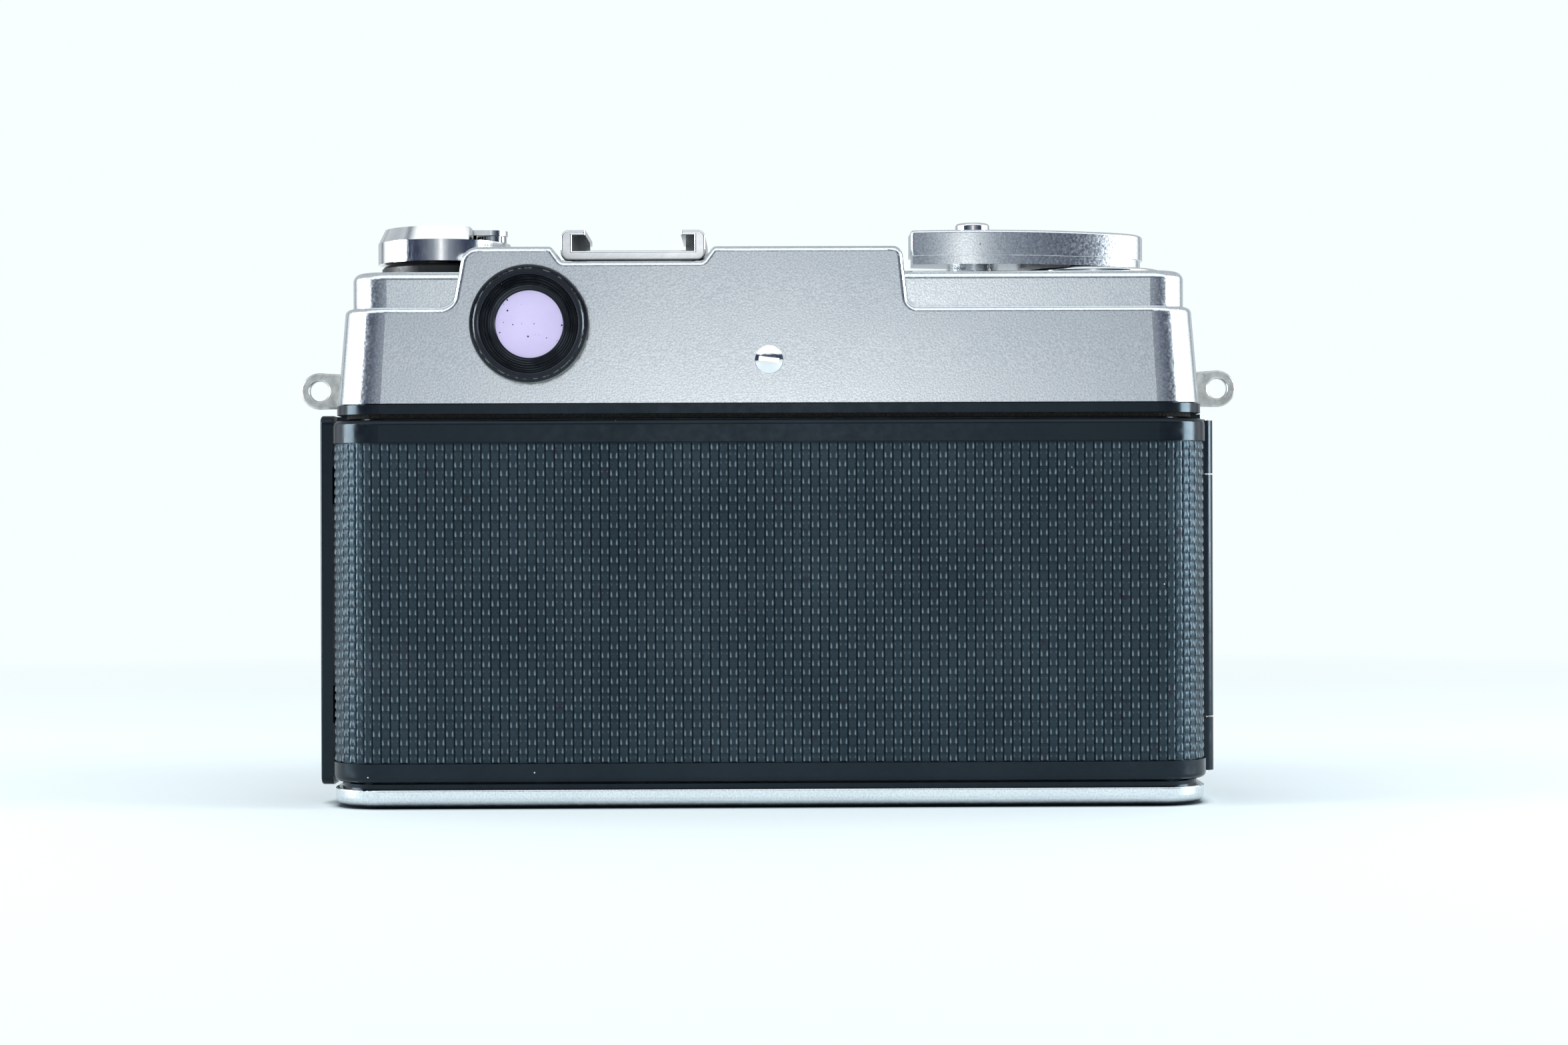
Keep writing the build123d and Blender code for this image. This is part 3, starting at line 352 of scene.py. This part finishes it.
def spring_steel():
    f = Finish("spring_steel", (0.5, 0.5, 0.5), metallic=1.0)
    f.set("Base Color", f.mix(f.noise(900, 3), (0.36, 0.37, 0.38), (0.56, 0.56, 0.55)))
    f.set("Roughness", f.between(f.noise(3000, 3, (6, 1, 1)), 0.3, 0.7, 0.2, 0.36))
    return f.material


def foam():
    """Crumbly black light-seal foam."""
    f = Finish("foam", (0.012, 0.012, 0.012), roughness=0.95)
    pores = f.node("TexVoronoi", "Distance", {"Vector": f.place, "Scale": 2600.0})
    f.set("Base Color", f.mix(pores, (0.004, 0.004, 0.004), (0.03, 0.028, 0.026)))
    f.bump(pores, 0.2 * MM, 0.8)
    return f.material


def dial_white():
    f = Finish("dial_white", (0.8, 0.8, 0.76), roughness=0.4)
    f.set("Base Color", f.mix(f.noise(600, 3), (0.72, 0.71, 0.66), (0.84, 0.84, 0.80)))
    f.set("Roughness", f.between(f.noise(2000, 2), 0.3, 0.7, 0.35, 0.5))
    return f.material


def coated_glass():
    """Dark glass with a lilac anti-reflection coating that turns bluer at grazing angles."""
    f = Finish("coated_glass", (0.10, 0.08, 0.17), roughness=0.04, Coat_Weight=0.6, Coat_Roughness=0.03)
    edge = f.node("LayerWeight", "Facing", {"Blend": 0.35})
    tone = f.mix(edge, (0.115, 0.085, 0.20), (0.05, 0.07, 0.16))
    tone = f.mix(f.specks(1500, 0.05, 0.25), tone, (0.45, 0.42, 0.5))
    f.set("Base Color", tone)
    f.set("Roughness", f.between(f.noise(1500, 3), 0.3, 0.7, 0.03, 0.12))
    return f.material


def eyepiece_glass():
    """The eyepiece's lens, pale lilac from its coating against the bright finder behind it, with specks."""
    f = Finish("eyepiece_glass", (0.30, 0.27, 0.43), Specular_IOR_Level=0.3, Emission_Strength=0.8)
    dirt = f.maths("MAXIMUM", f.specks(640, 0.16, 0.6), f.specks(1500, 0.22, 0.25))
    tone = f.mix(f.between(f.noise(120, 3), 0.3, 0.7), (0.50, 0.46, 0.70), (0.56, 0.52, 0.77))
    tone = f.mix(dirt, tone, (0.02, 0.02, 0.03))
    f.set("Base Color", f.mix(0.5, tone, (0.0, 0.0, 0.0)))
    f.set("Emission Color", tone)
    f.set("Roughness", f.between(f.noise(1500, 3), 0.3, 0.7, 0.18, 0.30))
    return f.material


WEAR_LINE_AT = 0.93
WEAR_LINE_WIDTH = 0.14 * MM
GROOVE_PITCH = 0.38 * MM


def eyepiece_black():
    """The eyepiece ring's deep black, with a broken grey wear line near its rim and dust in the grooves."""
    f = Finish("eyepiece_black", (0.006, 0.007, 0.009), Specular_IOR_Level=0.32)
    f.set("Specular Tint", (0.75, 0.88, 1.0, 1.0))
    low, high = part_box("eyepiece_ring")
    centre = (low + high) / 2
    aside = f.node("VectorMath", "Vector", {0: f.place, 1: centre}, operation="SUBTRACT")
    flat = f.node("VectorMath", "Vector", {0: aside, 1: (1.0, 0.0, 1.0)}, operation="MULTIPLY")
    radius = f.node("VectorMath", "Value", {0: flat}, operation="LENGTH")
    off_line = f.maths("ABSOLUTE", f.maths("SUBTRACT", radius, WEAR_LINE_AT * (high.x - centre.x)))
    line = f.maths("LESS_THAN", off_line, WEAR_LINE_WIDTH / 2)
    worn = f.maths("MULTIPLY", line, f.between(f.noise(1100, 2), 0.50, 0.56))
    tone = f.mix(f.noise(300, 3), (0.004, 0.005, 0.007), (0.009, 0.011, 0.014))
    turned = f.maths("SINE", f.maths("MULTIPLY", radius, 2 * math.pi / GROOVE_PITCH))
    grooved = f.maths("MULTIPLY", f.between(turned, 0.2, 1.0), f.between(radius, 7.4 * MM, 7.1 * MM))
    dusty = f.between(f.noise(260, 1), 0.45, 0.6)
    tone = f.mix(f.maths("MULTIPLY", grooved, dusty), tone, (0.05, 0.056, 0.065))
    tone = f.mix(f.maths("MULTIPLY", worn, 0.6), tone, (0.20, 0.21, 0.22))
    tone = f.mix(f.specks(700, 0.045, 0.3), tone, (0.35, 0.36, 0.38))
    f.set("Base Color", tone)
    f.set("Roughness", f.between(f.noise(1500, 3), 0.3, 0.7, 0.16, 0.28))
    return f.material


def window(name, colour, roughness, see_through):
    f = Finish(name, colour, roughness=roughness, Transmission_Weight=see_through, IOR=1.5)
    f.set("Base Color", f.mix(f.noise(300, 3), tuple(0.9 * c for c in colour), colour))
    f.set("Roughness", f.between(f.noise(1800, 3), 0.3, 0.7, roughness, roughness + 0.06))
    return f.material


def frosted_window():
    """Milky ribbed pane that lights the frame lines."""
    f = Finish("frosted_window", (0.82, 0.86, 0.86), roughness=0.3, Transmission_Weight=0.45)
    ribs = f.node("TexWave", "Fac", {"Vector": f.place, "Scale": 420.0}, bands_direction="Z")
    f.set("Base Color", f.mix(ribs, (0.66, 0.72, 0.74), (0.9, 0.93, 0.92)))
    f.bump(ribs, 0.2 * MM, 0.7)
    return f.material


def mirror():
    f = Finish("mirror", (0.9, 0.9, 0.9), metallic=1.0, roughness=0.03)
    f.set("Base Color", f.mix(f.noise(200, 3), (0.86, 0.87, 0.88), (0.94, 0.94, 0.93)))
    return f.material


def floor_paper():
    """Pale paper, dark right under the camera's edge, that fades into its own glow away from the camera."""
    f = Finish("floor_paper", (0.85, 0.95, 0.97), roughness=0.9, Specular_IOR_Level=0.0)
    paper = f.mix(f.noise(3, 2), (0.74, 0.80, 0.82), (0.76, 0.82, 0.84))
    away = f.between(f.node("VectorMath", "Value", {0: f.place}, operation="LENGTH"), 0.10, 0.50)
    open_share = f.node("AmbientOcclusion", "AO", {"Distance": 3.5 * MM}, samples=12)
    paper = f.mix(f.between(open_share, 0.80, 0.35), paper, (0.10, 0.13, 0.15))
    f.set("Base Color", f.mix(away, paper, (0.0, 0.0, 0.0)))
    f.set("Emission Color", (*PALE, 1.0))
    f.set("Emission Strength", away)
    return f.material


FINISHES = {
    "satin_chrome": satin_chrome(),
    "polished_chrome": polished_chrome(),
    "black_paint": black_paint(),
    "leatherette": leatherette(),
    "black_anodised": black_anodised(),
    "black_plastic": black_plastic(),
    "steel": steel(),
    "spring_steel": spring_steel(),
    "foam": foam(),
    "dial_white": dial_white(),
    "coated_glass": coated_glass(),
    "clear_glass": window("clear_glass", (0.90, 0.94, 0.95), 0.02, 0.94),
    "frosted_window": frosted_window(),
    "mirror": mirror(),
}


def paint_cad_nodes():
    """Every CAD node takes the procedural finish of its record slot."""
    for node in NODES.values():
        for slot in node.material_slots:
            slot.material = FINISHES[slot.material.name.split(".")[0]]
    NODES["eyepiece_glass"].material_slots[0].material = eyepiece_glass()
    NODES["accessory_shoe"].material_slots[0].material = polished_chrome("shoe_chrome", 5 * MM)
    NODES["bottom_cover"].material_slots[0].material = satin_chrome("standing_chrome", 0.55 * MM)


# ---------------------------------------------------------------- pieces

MARK_THICKNESS = 0.024 * MM
LENS_LOW, LENS_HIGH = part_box("lens_base")
LENS_Z = (LENS_LOW.z + LENS_HIGH.z) / 2


def add_piece(name, vertices, faces, slot, node, smooth_below=40.0):
    """A mesh that stands for a CAD node, on the same body and with the named slot's finish. It's shaded
    smooth over edges below that many degrees."""
    mesh = bpy.data.meshes.new(name)
    mesh.from_pydata([tuple(v) for v in vertices], [], faces)
    mesh.materials.append(FINISHES[slot])
    mesh.shade_smooth()
    mesh.set_sharp_from_angle(angle=math.radians(smooth_below))
    piece = bpy.data.objects.new(name, mesh)
    bpy.context.scene.collection.objects.link(piece)
    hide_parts(node)
    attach(piece, NODES[node]["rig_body"])
    return piece


# The woven leatherette is a plain weave: in its cells, a strand up the wall and one across take turns on top.
# Each profile gives a strand's height, 0 to 1, at the cell's steps.
CELL_WIDTH = 1.385 * MM
CELL_HEIGHT = 1.31 * MM
RELIEF = 0.28 * MM
LEATHER_THICKNESS = 0.5 * MM
LEATHER_CORNER = 7.75 * MM
CELL_STEPS = np.array([0.0, 0.17, 0.38, 0.62, 0.83])
UP_STRAND_ACROSS = np.array([0.0, 1.0, 0.52, 0.52, 1.0])
UP_STRAND_ALONG = np.array([0.40, 1.0, 1.0, 0.90, 0.66])
CROSS_STRAND_ACROSS = np.array([0.40, 0.56, 0.60, 0.70, 0.58])
CROSS_STRAND_ALONG = np.array([0.10, 1.06, 0.86, 0.86, 1.06])


def wrapped_wall(distance, half_width, reach, side):
    """A wall that runs up one side of the body by reach, round a corner, across, round the other corner and
    down the other side. For each distance along it: the corner circle's x, how far short of the corner's
    centre line it is in y, and the outward direction. side is +1 for the back and -1 for the front."""
    arc = LEATHER_CORNER * math.pi / 2
    flat = 2 * (half_width - LEATHER_CORNER)
    first, second, third, fourth = np.cumsum([reach, arc, flat, arc])
    quarter = math.pi / 2
    angle = np.select(
        [distance < first, distance < second, distance < third, distance < fourth],
        [0.0, (distance - first) / LEATHER_CORNER, quarter, quarter + (distance - third) / LEATHER_CORNER],
        math.pi,
    )
    outward = np.stack([np.cos(angle), side * np.sin(angle)], 1)
    centre_x = np.select(
        [distance < second, distance < third],
        [half_width - LEATHER_CORNER, half_width - LEATHER_CORNER - (distance - second)],
        LEATHER_CORNER - half_width,
    )
    before, past = first - distance, distance - fourth
    short_of_corner = np.select([distance < first, distance > fourth], [before, past], 0.0)
    return centre_x, short_of_corner, outward


def weave_relief(columns, rows):
    """Height of the weave, 0 to 1, at each column step and row step of the grid."""
    steps = len(CELL_STEPS)
    column_cell, column_step = np.divmod(np.arange(columns), steps)
    row_cell, row_step = np.divmod(np.arange(rows), steps)
    up = UP_STRAND_ACROSS[column_step][:, None] * UP_STRAND_ALONG[row_step][None, :]
    across = CROSS_STRAND_ALONG[column_step][:, None] * CROSS_STRAND_ACROSS[row_step][None, :]
    up_on_top = (column_cell[:, None] + row_cell[None, :]) % 2 == 0
    relief = np.where(up_on_top, up, across)
    ripple = np.random.default_rng(7).uniform(0.88, 1.0, (column_cell.max() + 1, row_cell.max() + 1))
    return relief * ripple[column_cell][:, row_cell]


def add_leatherette(node, side, holes=()):
    """The woven covering, a closed sheet wrapped round the body. holes are (x, z, radius) cut through it."""
    low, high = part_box(node)
    half_width = high.x
    flat_y = high.y if side > 0 else low.y
    corner_y = flat_y - side * LEATHER_CORNER
    end_y = low.y if side > 0 else high.y
    reach = abs(corner_y - end_y)
    wall = 2 * reach + math.pi * LEATHER_CORNER + 2 * (half_width - LEATHER_CORNER)
    height = high.z - low.z
    column_cells = round(wall / CELL_WIDTH)
    row_cells = round(height / CELL_HEIGHT)
    along = ((np.arange(column_cells)[:, None] + CELL_STEPS).ravel() / column_cells) * wall
    along = np.append(along, wall)
    up = ((np.arange(row_cells)[:, None] + CELL_STEPS).ravel() / row_cells) * height
    up = low.z + np.append(up, height)
    columns, rows = len(along), len(up)
    relief = weave_relief(columns, rows)
    relief[[0, -1], :] *= 0.5
    relief[:, [0, -1]] = 0.35
    centre_x, short, outward = wrapped_wall(along, half_width, reach, side)

    def surface(radius):
        x = centre_x[:, None] + radius * outward[:, :1]
        y = corner_y - side * short[:, None] + radius * outward[:, 1:]
        return x, y

    x, y = surface(LEATHER_CORNER - RELIEF * (1 - relief))
    front = np.stack([x, y, np.broadcast_to(up, (columns, rows))], 2).reshape(-1, 3)
    x, y = surface(np.full((columns, 1), LEATHER_CORNER - LEATHER_THICKNESS))
    behind = np.concatenate([np.concatenate([x, y, np.full_like(x, z)], 1) for z in (up[0], up[-1])])
    at = np.arange(columns * rows).reshape(columns, rows)
    first_behind = columns * rows
    bottom = first_behind + np.arange(columns)
    top = bottom + columns
    a, b, c, d = at[:-1, :-1], at[1:, :-1], at[1:, 1:], at[:-1, 1:]
    faces = np.stack([a, b, c, d], 2).reshape(-1, 4).tolist()
    faces += np.stack([bottom[1:], bottom[:-1], top[:-1], top[1:]], 1).tolist()
    faces += np.stack([at[1:, 0], at[:-1, 0], bottom[:-1], bottom[1:]], 1).tolist()
    faces += np.stack([at[:-1, -1], at[1:, -1], top[1:], top[:-1]], 1).tolist()
    faces.append([bottom[0], *at[0, :], top[0]])
    faces.append([top[-1], *at[-1, ::-1], bottom[-1]])
    if side > 0:
        faces = [face[::-1] for face in faces]
    vertices = np.concatenate([front, behind])
    piece = add_piece(node + "_woven", vertices, faces, "leatherette", node, smooth_below=75.0)
    raised = piece.data.attributes.new("relief", "FLOAT", "POINT")
    raised.data.foreach_set("value", np.append(relief.ravel(), np.zeros(2 * columns)))
    for x, z, radius in holes:
        cut_hole(piece, x, flat_y, z, radius)


def cut_hole(piece, x, y, z, radius):
    """Cuts a round hole along Y through a closed mesh."""
    bpy.ops.mesh.primitive_cylinder_add(
        vertices=128, radius=radius, depth=12 * MM, location=(x, y, z), rotation=(math.pi / 2, 0, 0)
    )
    cutter = bpy.context.object
    cut = piece.modifiers.new("hole", "BOOLEAN")
    cut.operation = "DIFFERENCE"
    cut.solver = "MANIFOLD"
    cut.object = cutter
    shape = bpy.data.meshes.new_from_object(piece.evaluated_get(bpy.context.evaluated_depsgraph_get()))
    piece.modifiers.clear()
    piece.data = shape
    bpy.data.objects.remove(cutter)


def add_turned(name, node, slot, profile, teeth=0, bite=0.0, segments=160, smooth_below=35.0):
    """A solid turned about its CAD node's axis along Y. profile is a closed loop of (y, radius, share of the
    bite) with lengths in mm, teeth how many grooves run along it, and bite their depth in mm."""
    low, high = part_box(node)
    axis = (low + high) / 2
    turns = teeth * 6 if teeth else segments
    angle = np.arange(turns) * 2 * math.pi / turns
    groove = np.clip(1.6 * np.cos(angle * teeth), -1, 1) * 0.5 + 0.5 if teeth else np.zeros(turns)
    vertices = []
    for y, radius, cut in profile:
        here = (radius - bite * cut * groove) * MM
        x, z = axis.x + here * np.cos(angle), axis.z + here * np.sin(angle)
        vertices.append(np.stack([x, np.full(turns, y * MM), z], 1))
    faces = []
    for i in range(len(profile)):
        j = (i + 1) % len(profile)
        for k in range(turns):
            m = (k + 1) % turns
            faces.append((i * turns + k, i * turns + m, j * turns + m, j * turns + k))
    piece = add_piece(name, np.concatenate(vertices), faces, slot, node, smooth_below)
    fix_normals(piece)
    return piece


def add_spring(name, node, slot, wire_radius, turns):
    """A coil spring that fills its CAD node's box, with closed round ends."""
    low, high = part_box(node)
    centre = (low + high) / 2
    coil_radius = (high.x - low.x) / 2 - wire_radius
    sides = 14
    stations = 40 * turns
    angle = np.linspace(0, 2 * math.pi * turns, stations)
    height = np.linspace(low.z + wire_radius, high.z - wire_radius, stations)
    around = np.arange(sides) * 2 * math.pi / sides
    reach = coil_radius + wire_radius * np.cos(around)[None, :]
    x = centre.x + reach * np.cos(angle)[:, None]
    y = centre.y + reach * np.sin(angle)[:, None]
    z = height[:, None] + wire_radius * np.sin(around)[None, :]
    faces = [
        (i * sides + k, i * sides + (k + 1) % sides, (i + 1) * sides + (k + 1) % sides, (i + 1) * sides + k)
        for i in range(stations - 1)
        for k in range(sides)
    ]
    faces += [tuple(range(sides)), tuple(range((stations - 1) * sides, stations * sides))]
    piece = add_piece(name, np.stack([x, y, z], 2).reshape(-1, 3), faces, slot, node)
    fix_normals(piece)
    return piece


def text_mesh(text, size):
    """The text as a thin solid mesh in the XY plane, centred on the origin."""
    curve = bpy.data.curves.new("mark", "FONT")
    curve.body = text
    curve.size = size
    curve.extrude = MARK_THICKNESS / 2
    curve.align_x = "CENTER"
    curve.align_y = "CENTER"
    curve.resolution_u = 3
    holder = bpy.data.objects.new("mark", curve)
    bpy.context.scene.collection.objects.link(holder)
    bpy.context.view_layer.update()
    mesh = bpy.data.meshes.new_from_object(holder.evaluated_get(bpy.context.evaluated_depsgraph_get()))
    bpy.data.objects.remove(holder)
    return mesh


def add_marks(name, node, slot, marks):
    """One piece of many small marks on a CAD node's body. marks are (mesh, where), and where(v) gives a
    vertex's place in the shared frame."""
    shape = bmesh.new()
    for mesh, where in marks:
        first = len(shape.verts)
        shape.from_mesh(mesh)
        shape.verts.ensure_lookup_table()
        for vertex in shape.verts[first:]:
            vertex.co = where(vertex.co)
    mesh = bpy.data.meshes.new(name)
    shape.to_mesh(mesh)
    shape.free()
    mesh.materials.clear()
    mesh.materials.append(FINISHES[slot])
    piece = bpy.data.objects.new(name, mesh)
    bpy.context.scene.collection.objects.link(piece)
    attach(piece, NODES[node]["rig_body"])


def round_lens(radius, y, turn):
    """Bends a flat mark round the lens axis at a radius, with its middle at a turn from straight up."""

    def where(v):
        angle = turn + v.x / radius
        out = radius + v.z
        return Vector((out * math.sin(angle), y - v.y, LENS_Z + out * math.cos(angle)))

    return where


def tick_mesh(width, length):
    """A small flat bar in the XY plane, for one line of a scale."""
    shape = bmesh.new()
    bmesh.ops.create_cube(shape, size=1.0)
    bmesh.ops.scale(shape, vec=(width, length, MARK_THICKNESS), verts=shape.verts)
    mesh = bpy.data.meshes.new("tick")
    shape.to_mesh(mesh)
    shape.free()
    return mesh


def add_ring_scale(node, slot, labels, radius, y, size, half_spread, tick_at):
    """Numerals spread round a lens ring, half_spread degrees to each side, each with a line beside it."""
    marks = []
    for i, label in enumerate(labels):
        turn = math.radians(-half_spread + 2 * half_spread * i / (len(labels) - 1))
        marks.append((text_mesh(label, size), round_lens(radius, y, turn)))
        marks.append((tick_mesh(0.16 * MM, 0.45 * MM), round_lens(radius, tick_at, turn)))
    add_marks(node + "_scale", node, slot, marks)


def fix_normals(piece):
    shape = bmesh.new()
    shape.from_mesh(piece.data)
    bmesh.ops.recalc_face_normals(shape, faces=shape.faces)
    shape.to_mesh(piece.data)
    shape.free()


def add_lights():
    """A dim box overhead that shows in no reflection, and a soft box level with the camera on either side."""
    top = add_area_light("top_box", (0.1, 0.0, 0.9), OBJECT_MIDDLE, 0.9, 1.8)
    top.visible_glossy = False
    add_area_light("left_box", (0.55, 0.10, 0.14), OBJECT_MIDDLE, 0.26, 3.0, (0.94, 0.98, 1.0))
    add_area_light("right_box", (-0.55, 0.10, 0.14), OBJECT_MIDDLE, 0.26, 3.6, (0.90, 0.97, 1.0))


def add_coverings():
    """The woven leatherette on the door and on the front, with holes for the lens and the sync socket."""
    low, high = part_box("sync_socket")
    socket = (low + high) / 2
    add_leatherette("door_leatherette", 1)
    add_leatherette("front_leatherette", -1, [(0, LENS_Z, 25.2 * MM), (socket.x, socket.z, 3.05 * MM)])


def add_eyepiece():
    """The eyepiece ring: a smooth black face, five fine grooves that step inwards, and a thin lip."""
    steps = []
    for groove in range(5):
        out, tread = 18.22 - 0.26 * groove, 7.55 - 0.36 * groove
        steps += [(out, tread, 0), (out - 0.36, tread - 0.15, 0)]
    ring = add_turned(
        "eyepiece_ring_grooved", "eyepiece_ring", "black_anodised",
        [
            (12.1, 5.55, 0), (12.1, 7.3, 0), (15.35, 7.35, 0), (15.35, 8.95, 0), (17.7, 8.98, 0),
            (18.05, 8.85, 0), (18.2, 8.55, 0), (18.2, 8.35, 0), (18.38, 8.15, 0), (18.38, 7.7, 0),
        ]
        + steps + [(16.75, 5.25, 0), (16.6, 5.1, 0), (16.42, 5.1, 0), (16.42, 5.55, 0)],
        segments=240,
    )
    ring.material_slots[0].material = eyepiece_black()


def add_lens_rings():
    """The three rings: knurls that grip, each beside a scale."""
    add_turned(
        "focus_ring_knurled", "focus_ring", "satin_chrome",
        [
            (-26.6, 20.6, 0), (-26.6, 24.95, 0), (-26.35, 25.2, 0), (-24.6, 25.2, 0), (-24.4, 25.35, 0.3),
            (-24.35, 26.5, 0.9), (-24.05, 26.8, 1), (-20.1, 26.8, 1), (-19.8, 26.5, 0.9),
            (-19.7, 25.6, 0.2), (-19.7, 20.6, 0),
        ],
        teeth=60, bite=0.75,
    )
    add_ring_scale(
        "focus_ring", "black_plastic", ("30", "15", "10", "7", "5", "4", "3", "2.5"),
        radius=25.21 * MM, y=-25.45 * MM, size=1.5 * MM, half_spread=62, tick_at=-26.2 * MM,
    )
    add_turned(
        "aperture_ring_knurled", "aperture_ring", "satin_chrome",
        [
            (-31.6, 22.6, 0), (-31.6, 25.1, 1), (-31.4, 25.35, 1), (-30.55, 25.35, 1), (-30.4, 24.9, 0.2),
            (-30.35, 24.8, 0), (-28.35, 24.8, 0), (-28.15, 24.6, 0), (-28.15, 22.6, 0),
        ],
        teeth=120, bite=0.35,
    )
    add_ring_scale(
        "aperture_ring", "black_plastic", ("2", "2.8", "4", "5.6", "8", "11", "16", "22"),
        radius=24.81 * MM, y=-29.15 * MM, size=1.45 * MM, half_spread=48, tick_at=-30.1 * MM,
    )
    add_turned(
        "shutter_speed_ring_knurled", "shutter_speed_ring", "satin_chrome",
        [
            (-35.2, 22.6, 0), (-35.2, 25.0, 1), (-34.75, 25.75, 1), (-34.3, 25.75, 1), (-34.15, 25.3, 0.2),
            (-34.1, 25.2, 0), (-32.1, 25.2, 0), (-31.9, 25.0, 0), (-31.9, 22.6, 0),
        ],
        teeth=120, bite=0.35,
    )
    add_ring_scale(
        "shutter_speed_ring", "black_plastic", ("1", "2", "4", "8", "15", "30", "60", "125", "250", "500"),
        radius=25.21 * MM, y=-32.95 * MM, size=1.35 * MM, half_spread=64, tick_at=-33.85 * MM,
    )


def add_bezel():
    """The front bezel: a filter thread inside its rim, then baffle steps down to the glass."""
    thread = [(-42.7 + 0.25 * i, 22.5 + (0.35 if i % 2 else 0.0), 0) for i in range(13)]
    baffle = [(-39.35 + 0.12 * (i // 2), 20.4 - 0.62 * ((i + 1) // 2), 0) for i in range(20)]
    add_turned(
        "front_bezel_threaded", "front_bezel", "black_anodised",
        [
            (-36.8, 12.5, 0), (-36.8, 24.0, 0), (-42.5, 24.0, 0), (-42.9, 23.8, 0), (-43.0, 23.5, 0),
            (-43.0, 22.8, 0),
        ]
        + thread + baffle + [(-38.2, 13.4, 0), (-38.7, 12.9, 0), (-38.9, 12.5, 0)],
    )


def add_release_spring():
    """The button's return spring, which shortens as the button goes down, with 3% to spare."""
    spring = add_spring("button_spring_coil", "button_spring", "spring_steel", 0.25 * MM, 4)
    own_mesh(spring)


FRAMES = 40


def add_counter_scale():
    """The frame counter's dial: a line for each frame, longer at every fourth, and numerals by eights."""
    low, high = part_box("counter_dial")
    dial = (low + high) / 2

    def on_dial(radius, frame_number):
        """Lays a flat mark on the dial at a frame's place, with its foot towards the middle."""
        turn = 2 * math.pi * frame_number / FRAMES

        def where(v):
            flat = Matrix.Rotation(-turn, 3, "Z") @ Vector((v.x, radius + v.y, 0))
            return Vector((dial.x + flat.x, dial.y + flat.y, high.z + 0.014 * MM + v.z))

        return where

    marks = [
        (tick_mesh(0.09 * MM, (0.75 if i % 4 else 1.0) * MM), on_dial(3.75 * MM, i)) for i in range(FRAMES)
    ]
    marks += [
        (text_mesh(str(number), 1.35 * MM), on_dial(2.45 * MM, number)) for number in (0, 8, 16, 24, 32)
    ]
    add_marks("counter_scale", "counter_dial", "black_plastic", marks)


add_camera()
add_world()
add_lights()
paint_cad_nodes()
add_floor(floor_paper())
add_coverings()
add_eyepiece()
add_lens_rings()
add_bezel()
add_release_spring()
add_counter_scale()
bpy.context.scene.view_settings.view_transform = "Standard"
